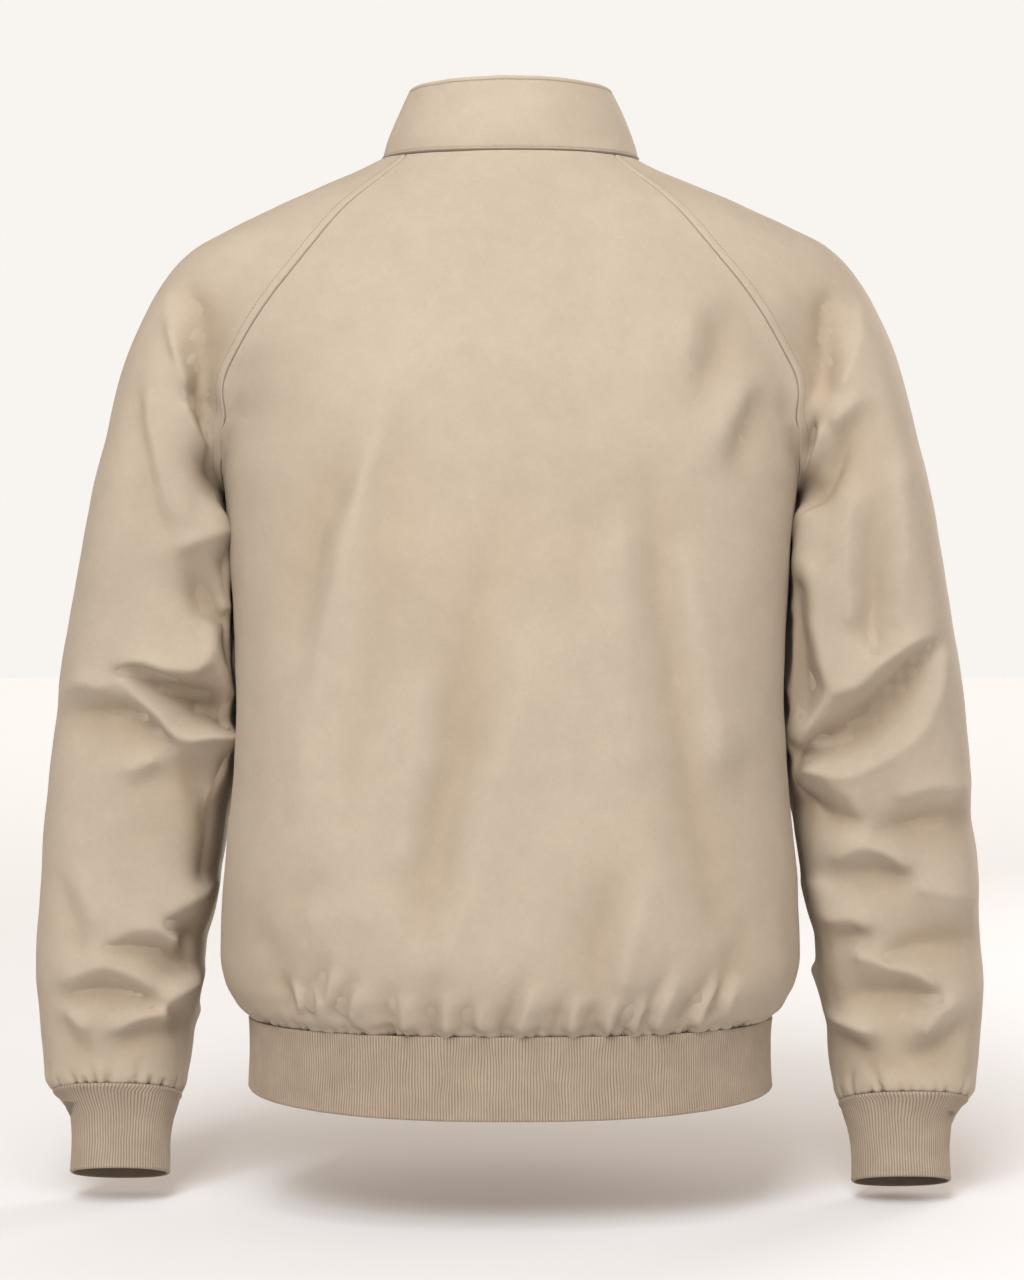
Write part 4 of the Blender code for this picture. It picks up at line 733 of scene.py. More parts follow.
def eased(grid, passes=50, rows=26, reach=10.0):
    """The grid with its rows near the underarm evened out, except beside the seams."""
    middle = slice(CAP_GRID_ROWS - rows, CAP_GRID_ROWS + rows)
    across = cloth_coordinates(grid)[0]
    inward = np.minimum(across - across[:, :1], across[:, -1:] - across)
    place = np.arange(len(grid))[middle] - CAP_GRID_ROWS
    ease = smooth(inward[middle] / reach) * (1 - smooth((abs(place) - rows + 8) / 7))[:, None]
    for _ in range(passes):
        between = (grid[middle.start - 1 : middle.stop - 1] + grid[middle.start + 1 : middle.stop + 1]) / 2
        grid[middle] += (between - grid[middle]) * 0.5 * ease[..., None]
    return grid


def regraded(upper, lower, columns, ends=(True, True)):
    """A fine grid from raw rows above and below the underarm, with close points next to every seam."""
    parts = []
    halves = ((upper, CAP_GRID_ROWS, True, False), (lower, LOWER_GRID_ROWS, False, True))
    for rows, count, first, last in halves:
        across = np.stack([read_at(row, spaced(lengths(row)[-1], columns, *ends)) for row in rows])
        down = []
        for k in range(columns):
            column = across[:, k]
            down.append(read_at(column, spaced(lengths(column)[-1], count, first, last)))
        parts.append(np.stack(down, axis=1))
    return eased(np.concatenate([parts[0], parts[1][1:]]))


def torso_rows(z_from, z_to, angle_from, angle_to):
    """Rows on the form, all at once: each goes from one height and angle to another."""
    t = np.linspace(0, 1, RAW_COLUMNS)
    z = z_from[:, None] + (z_to - z_from)[:, None] * t
    return onto_form(torso_point(z, angle_from[:, None] + (angle_to - angle_from)[:, None] * t))


def back_grid(seams):
    """The back, from the neck seam down, each row from the wearer's left to the right."""
    back = seams[0]
    neck_end = math.asin(back[0][0] / NECK_HALF_WIDTH)
    z = back[1:, 2]
    angles = np.array([angle_of(point, False) for point in back[1:]])
    neck = neck_line(np.linspace(neck_end, -neck_end, RAW_COLUMNS))
    raw = [neck, *torso_rows(z, z, angles, math.pi - angles)]
    upper = [ends_set(row, point, mirrored(point)) for row, point in zip(raw, back)]
    half_turn = np.linspace(0, math.pi, RAW_COLUMNS)
    lower = [upper[-1]] + [torso_point(z, half_turn) for z in levels(UNDERARM_Z, HEM_SEAM_Z)]
    return regraded(upper, lower, BACK_GRID)


def front_grid(seams):
    """The left front, from the neck seam down, each row from the side to the zip."""
    front = seams[1]
    from_angle = math.pi - math.asin(front[0][0] / NECK_HALF_WIDTH)
    to_angle = math.pi - math.asin(ZIP_OPENING / NECK_HALF_WIDTH)
    neck = neck_line(np.linspace(from_angle, to_angle, RAW_COLUMNS))
    edge_z = np.linspace(neck[-1][2], UNDERARM_Z, RAW_CAP_ROWS + 1)[1:]
    angles = np.array([angle_of(point, True) for point in front[1:]])
    raw = [neck, *torso_rows(front[1:, 2], edge_z, angles, torso_angle(ZIP_OPENING, edge_z, True))]
    upper = [ends_set(row, point) for row, point in zip(raw, front)]
    lower = [upper[-1]]
    for z in levels(UNDERARM_Z, HEM_SEAM_Z):
        lower.append(torso_point(z, np.linspace(0, float(torso_angle(ZIP_OPENING, z, True)), RAW_COLUMNS)))
    return regraded(upper, lower, FRONT_GRID)


def cap_rows(back, front, tops):
    """Rows over the shoulder, each from the back seam to the front seam in the plane through them along Y."""
    share = np.arange(FIRST_RAY, LAST_RAY + 1)[:, None] / RAW_CAP_ROWS
    back, front, tops = (line[FIRST_RAY : LAST_RAY + 1] for line in (back, front, tops))
    heart = (back + front) / 2
    heart[:, 1] = CAP_HEART_Y
    heart[:, [0, 2]] += (tops - heart[:, [0, 2]]) * 0.5 * share
    outward = unit(np.stack([tops[:, 0] - heart[:, 0], 0 * share[:, 0], tops[:, 1] - heart[:, 2]], axis=1))
    behind = np.array([0.0, 1.0, 0.0])
    turns = []
    for ends in (back, front):
        away = ends - heart
        turns.append(np.arctan2(away[:, 1], (away * outward).sum(axis=1)))
    t = np.linspace(0, 1, RAW_COLUMNS)
    turn = (turns[0][:, None] + (turns[1] - turns[0])[:, None] * t)[..., None]
    rows = out_to_form(heart[:, None], outward[:, None] * np.cos(turn) + behind * np.sin(turn))
    rows[:, 0], rows[:, -1] = back, front
    return list(rows)


def sleeve_ring(level, lean_out, lean_back, side, start=0.0):
    """A closed ring in a leaning plane: its outer side is higher by lean_out, its back by lean_back.

    It starts at its inner side, or this far from it towards the back.
    """
    turns = np.linspace(math.pi, -math.pi, RAW_COLUMNS)
    x, y, _, _ = sleeve_axis(level, side)
    z = np.full(len(turns), float(level))
    for _ in range(12):
        p = sleeve_point(z, turns, side)
        z = level + lean_out * (np.abs(p[:, 0]) - abs(x)) + lean_back * (p[:, 1] - y)
    ring = sleeve_point(z, turns, side)
    total = lengths(ring)[-1]
    return read_at(ring, (np.linspace(0, total, RAW_COLUMNS) + start) % total)


def sleeve_grid(seams, side):
    """A sleeve: open rows over the shoulder down to the underarm, then closed rings to the cuff."""
    back, front, tops = seams
    neck = neck_line(np.linspace(neck_angle(back[0][0], False), neck_angle(front[0][0], True), RAW_COLUMNS))
    neck = ends_set(neck, back[0], front[0])
    rays = [resampled(row, RAW_COLUMNS) for row in cap_rows(back, front, tops)]
    armhole_slope = (tops[-1][1] - UNDERARM_Z) / (tops[-1][0] - back[-1][0])
    level = UNDERARM_Z + armhole_slope * sleeve_axis(UNDERARM_Z, "left")[2]
    armhole = sleeve_ring(level, armhole_slope, 0.0, "left")
    start = lengths(armhole)[np.argmin(np.linalg.norm(armhole[: RAW_COLUMNS // 2] - back[-1], axis=1))]
    armhole = ends_set(sleeve_ring(level, armhole_slope, 0.0, "left", start), back[-1], back[-1], reach=0.15)
    shares = np.linspace(0, 1, FIRST_RAY + 1)[1:-1, None, None]
    above = onto_form(neck + (rays[0] - neck) * shares)
    shares = np.linspace(0, 1, RAW_CAP_ROWS - LAST_RAY + 1)[1:, None, None]
    below = rays[-1] + (armhole - rays[-1]) * shares
    rows = [neck, *above, *rays, *below]
    rows = [ends_set(row, back[j], front[j], reach=0.15) for j, row in enumerate(rows)]
    if side == "right":
        rows = [mirrored(row) for row in rows]
    lower = [rows[-1]]
    for z in levels(UNDERARM_Z, SLEEVE_END_Z):
        lean_out = armhole_slope * (1 - smooth((UNDERARM_Z - z) / ARMHOLE_FADE))
        cuff_share = smooth((CUFF_LEAN_STARTS_Z - z) / (CUFF_LEAN_STARTS_Z - SLEEVE_END_Z))
        level = z - sag(z, side) + lean_out * sleeve_axis(z, side)[2]
        begin = start * (1 - smooth((UNDERARM_Z - z) / START_FADE))
        lower.append(sleeve_ring(level, lean_out, math.tan(CUFF_LEAN) * cuff_share, side, begin))
    return regraded(rows, lower, SLEEVE_GRID)


def normals_of(grid, closed_from=None):
    """Outward normals of a grid whose rows run round the wearer or the arm."""
    down = np.gradient(grid, axis=0)
    along = np.gradient(grid, axis=1)
    if closed_from is not None:
        turn = (grid[closed_from:, 1] - grid[closed_from:, -2]) / 2
        along[closed_from:, 0] = along[closed_from:, -1] = turn
    normal = unit(np.cross(down, along))
    middle = grid.mean(axis=1, keepdims=True)
    return normal * np.sign((normal * (grid - middle)).sum())


# ---------------------------------------------------------------- creases and gathers


def sharp_gathers():
    """The fold lines of the gathers above the hem: a valley and the crest beside it, in turn."""
    lines = []
    for *valley, beside in SHARP_GATHERS:
        lines.append([(x, z, h) for (x, z), h in zip(valley, VALLEY_HEIGHTS)])
        lines.append([(x + off, z, h) for (x, z), off, h in zip(valley[1:], beside, CREST_HEIGHTS)])
    return lines


def fold_field(cloth):
    """Heights over the upright plane: a slack skin held at each fold line's own heights."""
    shape = tuple(((FIELD_TO - FIELD_FROM) / FIELD_CELL).astype(int) + 1)
    held, pulled = np.zeros(shape), np.zeros(shape)
    for line in sharp_gathers() if cloth == "gather" else FOLDS[cloth]:
        table = np.array(line, float)
        along = lengths(table[:, :2])
        at = np.arange(0, along[-1], FIELD_CELL / 3)
        x, z, h = (curve_through(along, table[:, k])(at) for k in range(3))
        cells = (np.stack([x, z], axis=1) - FIELD_FROM) / FIELD_CELL
        corner = np.floor(cells).astype(int)
        for step in ((0, 0), (0, 1), (1, 0), (1, 1)):
            share = np.prod(np.abs(corner + 1 - step - cells), axis=1)
            place = tuple((corner + step).T)
            np.add.at(held, place, share)
            np.add.at(pulled, place, share * h)
    grip = FIELD_GRIP * held / (1 + FIELD_GRIP * held)
    wanted = grip * pulled / np.maximum(held, 1e-9)
    weight = (1 - grip) / (4 + (FIELD_CELL / FIELD_REACH[cloth]) ** 2)
    odd = np.indices(shape).sum(axis=0) % 2
    turns = [(1.85 - 0.85 * grip) * (odd == turn) for turn in (0, 1)]
    height, around = np.zeros(shape), np.zeros(shape)
    for sweep in range(2 * FIELD_SWEEPS):
        around[1:-1, 1:-1] = height[:-2, 1:-1] + height[2:, 1:-1] + height[1:-1, :-2] + height[1:-1, 2:]
        height += turns[sweep % 2] * (around * weight + wanted - height)
    crests, valleys = (smoothed(height, times) for times in FIELD_SMOOTHING[cloth])
    return crests + (valleys - crests) * smooth(-valleys / VALLEY_SOFT)


def smoothed(height, times):
    """The field blended with its neighbours this many times."""
    for _ in range(times):
        for axis in (0, 1):
            height = height / 2 + (np.roll(height, 1, axis) + np.roll(height, -1, axis)) / 4
    return height


def read_field(field, x, z):
    """The field's height at points, blended smoothly from the nine cells round each."""
    nearest, shares = [], []
    for value, low, count in zip((x, z), FIELD_FROM, field.shape):
        value = np.clip((value - low) / FIELD_CELL, 1, count - 2)
        cell = np.round(value).astype(int)
        off = value - cell
        nearest.append(cell)
        shares.append(((0.5 - off) ** 2 / 2, 0.75 - off**2, (0.5 + off) ** 2 / 2))
    total = 0
    for i in range(3):
        for j in range(3):
            total = total + shares[0][i] * shares[1][j] * field[nearest[0] + i - 1, nearest[1] + j - 1]
    return total


FIELDS = {cloth: fold_field(cloth) for cloth in FIELD_REACH}


def fold_push(points, normals, sleeve, from_seam):
    """How far the folds push each point out along its normal."""
    wander = [swells(points, seed, WANDER_WAVELENGTH, FOLD_WANDER) for seed in WANDER_SEEDS]
    x, z = points[..., 0] + wander[0], points[..., 2] + wander[1]
    push = np.zeros(x.shape)
    for sign, share in ((1, 1.0), (-1, FRONT_SHARE)):
        turned = share * smooth((sign * normals[..., 1] + 0.2) / 0.6)
        for cloth, field in FIELDS.items():
            if (cloth == "sleeve") == sleeve:
                push += read_field(field, sign * x, z) * turned
    return push * smooth(from_seam / FULL_FROM_SEAM)


def swells(points, seed, wavelength, height, waves=16):
    """Soft uneven swells: a sum of waves in chance directions."""
    chance = np.random.default_rng(seed)
    total = np.zeros(points.shape[:-1])
    for _ in range(waves):
        way = unit(chance.normal(size=3)) * 2 * math.pi / (wavelength * chance.uniform(0.7, 1.7))
        total += np.sin(points @ way + chance.uniform(0, 2 * math.pi))
    return height * total / math.sqrt(waves / 2)


def gather_push(place, up, spacing, depth, reach, seed):
    """Gathers at a rib seam: narrow at the seam, wider and softer above it. place is along the seam."""
    chance = np.random.default_rng(seed)
    push = np.zeros(up.shape)
    at = chance.uniform(2, spacing)
    total = place.max()
    while at < total - 2:
        length = reach * (GATHER_SHORTEST + GATHER_LONGER * chance.random() ** GATHER_RARITY)
        lean = chance.normal(0, GATHER_LEAN)
        deep = depth * chance.uniform(*GATHER_DEPTHS)
        width = chance.uniform(*GATHER_WIDTHS) + GATHER_WIDENS * up
        fade = (1 - np.clip(up / length, 0, 1)) ** 1.4 * (0.75 + 0.25 * smooth(up / 4))
        push -= deep * fade * bell((place - at - lean * up) / width)
        at += spacing * chance.uniform(*GATHER_SPACINGS)
    return push


# ---------------------------------------------------------------- meshes


def grid_faces(rows, columns, start):
    """A grid's vertex numbers, counted from start, and its four-cornered faces."""
    index = start + np.arange(rows * columns).reshape(rows, columns)
    quads = np.stack([index[:-1, :-1], index[:-1, 1:], index[1:, 1:], index[1:, :-1]], axis=-1)
    return index, quads.reshape(-1, 4).tolist()


def fan_strip(first, first_at, second, second_at):
    """Triangles between two lines of vertex numbers, matched by where each vertex lies along them."""
    faces, i, j = [], 0, 0
    while i < len(first) - 1 or j < len(second) - 1:
        next_first = first_at[i + 1] if i < len(first) - 1 else np.inf
        next_second = second_at[j + 1] if j < len(second) - 1 else np.inf
        if next_first <= next_second:
            faces.append((first[i], first[i + 1], second[j]))
            i += 1
        else:
            faces.append((first[i], second[j + 1], second[j]))
            j += 1
    return faces


def every(count, step):
    """Numbers from 0 to count - 1 about a step apart, with both ends."""
    return np.unique(np.round(np.linspace(0, count - 1, max(2, round((count - 1) / step) + 1))).astype(int))


def put(name, data):
    """A new object in the scene."""
    obj = bpy.data.objects.new(name, data)
    bpy.context.scene.collection.objects.link(obj)
    return obj


def make_mesh(name, points, faces, uv, tints, material, weld=True):
    """A smooth-shaded object from points in millimetres, with cloth coordinates and tints on its points."""
    mesh = bpy.data.meshes.new(name)
    mesh.from_pydata((points * MM).tolist(), [], faces)
    mesh.materials.append(material)
    for key, values in tints.items():
        attribute = mesh.attributes.new(key, "FLOAT", "POINT")
        attribute.data.foreach_set("value", values.astype(np.float32))
    if uv is not None:
        corners = np.empty(len(mesh.loops), np.int32)
        mesh.loops.foreach_get("vertex_index", corners)
        layer = mesh.uv_layers.new(name="cloth")
        layer.data.foreach_set("uv", (uv[corners] * MM).astype(np.float32).reshape(-1))
    shape = bmesh.new()
    shape.from_mesh(mesh)
    if weld:
        bmesh.ops.remove_doubles(shape, verts=shape.verts, dist=1e-6)
    bmesh.ops.recalc_face_normals(shape, faces=shape.faces)
    shape.to_mesh(mesh)
    shape.free()
    mesh.shade_smooth()
    return put(name, mesh)


def cloth_coordinates(grid):
    """How far each point of a grid lies across the cloth and down it, in millimetres."""
    aside, below = (np.linalg.norm(np.diff(grid, axis=axis), axis=2) for axis in (1, 0))
    across = np.pad(np.cumsum(aside, axis=1), ((0, 0), (1, 0)))
    down = np.pad(np.cumsum(below, axis=0), ((1, 0), (0, 0)))
    return across - across[:, -1:] / 2, down


def shell(name, outer, inner, tints, material, closed_from=None, step=(5, 5)):
    """A closed wall: outer is the whole grid, and inner a grid as large, of which a sparse choice is used."""
    rows, columns = outer.shape[:2]
    index, faces = grid_faces(rows, columns, 0)
    keep_rows, keep_columns = every(rows, step[0]), every(columns, step[1])
    if closed_from:
        keep_rows = np.unique(np.append(keep_rows, closed_from))
    kept_cells = np.ix_(keep_rows, keep_columns)
    sparse = inner[kept_cells]
    inner_index, inner_faces = grid_faces(len(keep_rows), len(keep_columns), rows * columns)
    faces += inner_faces
    faces += fan_strip(index[0], np.arange(columns), inner_index[0], keep_columns)
    faces += fan_strip(index[-1], np.arange(columns), inner_index[-1], keep_columns)
    if closed_from != 0:
        last = rows if closed_from is None else closed_from + 1
        kept = keep_rows[keep_rows < last]
        for side in (0, -1):
            line, inner_line = index[:last, side], inner_index[: len(kept), side]
            faces += fan_strip(line, np.arange(last), inner_line, kept)
    points = np.concatenate([outer.reshape(-1, 3), sparse.reshape(-1, 3)])
    uv = np.stack(cloth_coordinates(outer), axis=-1)
    uv = np.concatenate([uv.reshape(-1, 2), uv[kept_cells].reshape(-1, 2)])
    spread = {key: np.append(values, values[kept_cells]) for key, values in tints.items()}
    return make_mesh(name, points, faces, uv, spread, material)


def tucked(points):
    """A sleeve's points, moved in to lie against the body where only a narrow groove would part them."""
    x, y, z = (points[..., k] for k in range(3))
    side, square = TORSO["side"](z), TORSO["square"](z)
    depth = torso_depth(z, y > side)
    share = np.clip(1 - np.abs((y - side) / depth) ** square, 0, 1) ** (1 / square)
    gap = np.clip(np.abs(x) - TORSO["half_width"](z) * share - TUCK_CLEAR, 0, None)
    level = smooth((TUCK_FROM - z) / TUCK_STARTS) * smooth((z - TUCK_TO) / TUCK_ENDS)
    moved = gap * smooth(1 - (gap - TUCK_FULL) / TUCK_REACH) * level
    return points - np.stack([np.sign(x) * moved, 0 * y, 0 * z], axis=-1)


class Cloth:
    """A panel's grid with what is measured on it."""

    def __init__(self, name, grid, closed_from=None):
        self.sleeve = name.startswith("sleeve")
        if self.sleeve:
            grid = tucked(grid)
        self.name, self.grid, self.closed_from = name, grid, closed_from
        across, down = cloth_coordinates(grid)
        self.from_first = across - across[:, :1]
        self.from_last = across[:, -1:] - across
        self.from_raglan = self.raglan_distance()
        shared = bell(self.from_raglan / SHARED_REACH)[..., None]
        self.normals = unit(normals_of(grid, closed_from) * (1 - shared) + unit(form_slope(grid)) * shared)
        self.from_top = down
        self.from_bottom = down[-1:] - down
        self.place = self.from_first[-1:]

    def raglan_distance(self):
        """How far each point is from a raglan seam, measured along its row: far below the underarm."""
        away = self.from_first
        if not self.name.startswith("front"):
            away = np.minimum(away, self.from_last)
        below = np.arange(len(away))[:, None] - (CAP_GRID_ROWS - 1)
        return np.hypot(away, np.maximum(below, 0) * ROW_AWAY)

    def shaped(self):
        """The outer points with every crease, gather and seam, and the plain inner ones."""
        points, normals = self.grid, self.normals
        fade = smooth(self.from_bottom / CREASE_FADE)
        creases = fold_push(points, normals, self.sleeve, self.from_raglan)
        creases *= FOLD_AT_RIB + (1 - FOLD_AT_RIB) * fade
        if self.name.startswith("front"):
            creases *= smooth(self.from_last / FULL_FROM_ZIP)
        folds = creases + sum(swells(points, *swell) for swell in CLOTH_SWELLS) * fade
        gathers = gather_push(self.place, self.from_bottom, *GATHERS[self.name])
        blouse = BLOUSE_OUT * bell((self.from_bottom - BLOUSE_AT) / BLOUSE_REACH)
        seam = self.seam_relief()
        outer = points + normals * (folds + gathers + blouse + seam)[..., None]
        hang = OVERHANG * bell(self.from_bottom / OVERHANG_REACH)
        hang *= np.clip(1 + GATHER_LIFTS * gathers, 0.4, 1.2)
        downward = unit(np.gradient(points, axis=0))
        outer += downward * hang[..., None]
        bottom = INNER_CLEAR * np.exp(-self.from_bottom / INNER_CLEAR_REACH)
        inner = points + normals * (folds - SHELL - bottom)[..., None]
        self.outer = outer
        # How deep in a crease or gather each point lies, 0 to 1: it paints shade into the colour there.
        self.painted_fold_shade = np.clip(-(creases + gathers) / FOLD_DEEP, 0, 1)
        return outer, inner

    def seam_relief(self):
        """Edges that turn in to their seams, and the raised strip beside a topstitched one."""
        edges = [self.from_first, self.from_last, self.from_top]
        relief = np.zeros(self.from_top.shape)
        for away in edges:
            relief -= ROLL * bell(away / ROLL_REACH)
        relief -= ROLL * bell(self.from_bottom / 1.2)
        if self.sleeve:
            above = smooth((self.closed_from - np.arange(len(relief))) / STRIP_ENDS)[:, None]
            for away in edges[:2]:
                strip = smooth(away / 1.2) * (1 - smooth((away - TOPSTITCH_AT - 0.3) / 1.8))
                relief += above * ALLOWANCE_RISE * strip
                relief -= above * STITCH_GROOVE[0] * bell((away - TOPSTITCH_AT) / STITCH_GROOVE[1])
        return relief

    def edge_worn_and_painted_light(self):
        """1 on a turned edge, which is lighter, partly worn and partly a painted highlight, and below 0 down
        in the seam, which is painted shade.
        """
        away = np.minimum(self.from_first, self.from_last)
        if self.sleeve:
            away = np.where(np.arange(len(away))[:, None] > self.closed_from, 99.0, away)
        away = np.minimum(away, self.from_top)
        return bell((away - 1.0) / 0.8) - SEAM_PAINTED_SHADE * bell(away / 0.5)


# ---------------------------------------------------------------- materials


class Nodes:
    """Short ways to add and link the nodes of a material or the world."""

    def __init__(self, owner, shader="Principled BSDF"):
        owner.use_nodes = True
        self.owner, self.tree = owner, owner.node_tree
        self.shader = self.tree.nodes[shader]

    def add(self, kind, inputs=None, **settings):
        node = self.tree.nodes.new(kind)
        for key, value in settings.items():
            setattr(node, key, value)
        for key, value in (inputs or {}).items():
            self.feed(node.inputs[key], value)
        return node

    def feed(self, socket, value):
        """Links a socket to another node's output, or sets its value."""
        if isinstance(value, bpy.types.NodeSocket):
            self.tree.links.new(value, socket)
        else:
            socket.default_value = value

    def math(self, operation, first, second):
        return self.add("ShaderNodeMath", {0: first, 1: second}, operation=operation).outputs[0]

    def scaled(self, value, factor, plus):
        """value * factor + plus"""
        return self.math("ADD", self.math("MULTIPLY", value, factor), plus)

    def place(self, kind="Object"):
        return self.add("ShaderNodeTexCoord").outputs[kind]

    def cloth(self):
        return self.add("ShaderNodeUVMap", uv_map="cloth").outputs["UV"]

    def tint(self, name):
        return self.add("ShaderNodeAttribute", attribute_name=name).outputs["Fac"]

    def noise(self, vector, scale, detail=2.0, rough=0.5):
        inputs = {"Vector": vector, "Scale": scale, "Detail": detail, "Roughness": rough}
        return self.add("ShaderNodeTexNoise", inputs).outputs["Fac"]

    def ramp(self, value, stops):
        """A colour ramp through (place, colour) stops."""
        node = self.add("ShaderNodeValToRGB", {"Fac": value})
        elements = node.color_ramp.elements
        while len(elements) < len(stops):
            elements.new(0.5)
        for element, (place, colour) in zip(elements, stops):
            element.position = place
            element.color = (*colour, 1.0)
        return node.outputs["Color"]

    def tone(self, colour, factor):
        """The colour multiplied by a factor that varies over the surface."""
        return self.add("ShaderNodeVectorMath", {0: colour, "Scale": factor}, operation="SCALE").outputs[0]

    def bump(self, height, strength, distance, below=None):
        inputs = {"Height": height, "Strength": strength, "Distance": distance}
        if below is not None:
            inputs["Normal"] = below
        return self.add("ShaderNodeBump", inputs).outputs["Normal"]

    def set(self, **values):
        for key, value in values.items():
            self.feed(self.shader.inputs[key.replace("_", " ").title().replace("Ior", "IOR")], value)


def shades(colour, spread):
    """Three stops of a colour: a little darker, itself, and a little lighter."""
    return [(0.5 + 0.2 * way, tuple(c * (1 + way * spread) for c in colour)) for way in (-1, 0, 1)]


def cotton_material(name, colour):
    """Fine plain-woven cotton with faint slubs and soft blotches. Its turned edges are lighter, partly worn
    and partly a painted highlight; painted shade darkens it down in seams, stitch grooves and folds.
    """
    n = Nodes(bpy.data.materials.new(name))
    place = n.place()
    cloth = n.cloth()
    weft = n.add("ShaderNodeMapping", {"Vector": cloth, "Scale": (140.0, 1900.0, 1.0)}).outputs[0]
    warp = n.add("ShaderNodeMapping", {"Vector": cloth, "Scale": (1900.0, 140.0, 1.0)}).outputs[0]
    slubs = n.math("ADD", n.noise(weft, 1.0, 1.0), n.noise(warp, 1.0, 1.0))
    blotches = n.noise(place, 9.0, 3.0, 0.6)
    mottle = n.noise(place, 60.0, 4.0, 0.65)
    uneven = n.scaled(blotches, 0.6, n.math("MULTIPLY", mottle, 0.4))
    colour_at = n.ramp(uneven, shades(colour, 0.075))
    # Painted shade in the folds: the "fold" tint takes a share of each colour away.
    fold_shade_share = n.tone(FOLD_PAINTED_SHADE, n.tint("fold"))
    left = n.add("ShaderNodeVectorMath", {0: (1.0, 1.0, 1.0), 1: fold_shade_share}, operation="SUBTRACT").outputs[0]
    colour_at = n.add("ShaderNodeVectorMath", {0: colour_at, 1: left}, operation="MULTIPLY").outputs[0]
    # Slub grain, and the "edge" tint: turned edges lighter, partly worn and partly a painted highlight, and
    # painted shade down in seams and stitch grooves.
    grain_worn_and_painted_light = n.scaled(n.tint("edge"), 0.05, n.scaled(slubs, 0.12, 0.88))
    threads = []
    for direction in ("X", "Y"):
        inputs = {"Vector": cloth, "Scale": 460.0, "Distortion": 0.6, "Detail": 1.0, "Detail Scale": 0.6}
        threads.append(n.add("ShaderNodeTexWave", inputs, bands_direction=direction).outputs["Fac"])
    weave = n.bump(n.math("MULTIPLY", *threads), 0.30, 0.00025)
    nap = n.bump(n.noise(place, 420.0, 3.0, 0.7), 0.20, 0.0004, weave)
    n.set(base_color=n.tone(colour_at, grain_worn_and_painted_light), roughness=n.scaled(mottle, 0.1, 0.80))
    n.set(normal=nap, sheen_weight=0.05, sheen_roughness=0.45, sheen_tint=(1.0, 0.86, 0.70, 1.0))
    n.set(specular_ior_level=0.15)
    return n.owner


def knit_material(name, colour):
    """Rib knit with rows of small loops along its ribs, and painted shade that darkens its colour between the
    ribs.
    """
    n = Nodes(bpy.data.materials.new(name))
    place = n.place()
    cloth = n.cloth()
    mottle = n.noise(place, 45.0, 4.0, 0.6)
    colour_at = n.ramp(mottle, shades(colour, 0.08))
    fuzz = n.noise(place, 700.0, 2.0)
    # Painted shade: the colour darkens from each rib's crown into the groove beside it, with a fine random
    # tone.
    shade = n.scaled(n.tint("rib"), 0.62, n.scaled(fuzz, 0.14, 0.50))
    inputs = {"Vector": cloth, "Scale": 240.0, "Distortion": 1.5, "Detail": 1.0}
    loops = n.add("ShaderNodeTexWave", inputs, bands_direction="Y").outputs["Fac"]
    knit = n.bump(loops, 0.12, 0.0004)
    n.set(base_color=n.tone(colour_at, shade), roughness=0.92, normal=n.bump(fuzz, 0.3, 0.0004, knit))
    n.set(sheen_weight=0.08, sheen_roughness=0.5, sheen_tint=(1.0, 0.86, 0.70, 1.0), specular_ior_level=0.2)
    return n.owner


def thread_material(name, colour):
    n = Nodes(bpy.data.materials.new(name))
    place = n.place()
    n.set(base_color=n.ramp(n.noise(place, 900.0), shades(colour, 0.12)), roughness=0.7)
    n.set(sheen_weight=0.1, specular_ior_level=0.3)
    return n.owner


def tape_material(name, colour):
    """A zip's tape: herringbone weave across a narrow band."""
    n = Nodes(bpy.data.materials.new(name))
    place = n.place()
    inputs = {"Vector": place, "Scale": 300.0, "Distortion": 1.0}
    weave = n.add("ShaderNodeTexWave", inputs, bands_direction="DIAGONAL").outputs["Fac"]
    colour_at = n.ramp(n.noise(place, 200.0), shades(colour, 0.1))
    n.set(base_color=colour_at, roughness=0.85, normal=n.bump(weave, 0.3, 0.0003), sheen_weight=0.1)
    return n.owner


def brass_material(name, colour):
    """Satin antique brass, a little worn."""
    n = Nodes(bpy.data.materials.new(name))
    place = n.place()
    tarnish = n.noise(place, 350.0, 4.0, 0.6)
    n.set(base_color=n.ramp(tarnish, shades(colour, 0.22)), metallic=1.0)
    n.set(roughness=n.scaled(tarnish, 0.25, 0.24))
    n.set(normal=n.bump(n.noise(place, 1500.0, 2.0), 0.12, 0.0002))
    return n.owner


KHAKI = (0.400, 0.330, 0.254)
RIB_KHAKI = (0.312, 0.246, 0.183)
THREAD = (0.270, 0.205, 0.145)
BRASS = (0.52, 0.41, 0.24)
cotton = cotton_material("beige_cotton", KHAKI)
knit = knit_material("beige_rib_knit", RIB_KHAKI)
thread = thread_material("beige_thread", THREAD)
tape_cloth = tape_material("beige_zip_tape", RIB_KHAKI)
brass = brass_material("antique_brass", BRASS)


# ---------------------------------------------------------------- pieces


def ride(piece, slot, *replaced, body="jacket"):
    """The piece, moving with its body, in place of the nodes that it replaces. The slot argument is not used.
    """
    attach(piece, body)
    if replaced:
        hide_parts(*replaced)
    return piece


def make_panel(name, grid, closed_from=None):
    """A panel's cloth as a piece. From the row closed_from on, its rows are closed rings."""
    cloth = Cloth(name, grid, closed_from)
    outer, inner = cloth.shaped()
    # The "edge" tint is lighter on turned edges, partly worn and partly a painted highlight, and painted
    # shade down in seams; the "fold" tint is painted shade in the folds.
    tints = {"edge": cloth.edge_worn_and_painted_light(), "fold": cloth.painted_fold_shade}
    cloth.piece = shell(f"cloth_{name}", outer, inner, tints, cotton, closed_from)
    ride(cloth.piece, "cotton", name)
    return cloth


def ribs(columns):
    """A rounded ridge over each rib's points: 0 in the groove, 1 on the crown."""
    phase = (np.arange(columns) % POINTS_A_RIB) / POINTS_A_RIB
    return np.sin(math.pi * phase) ** 0.8


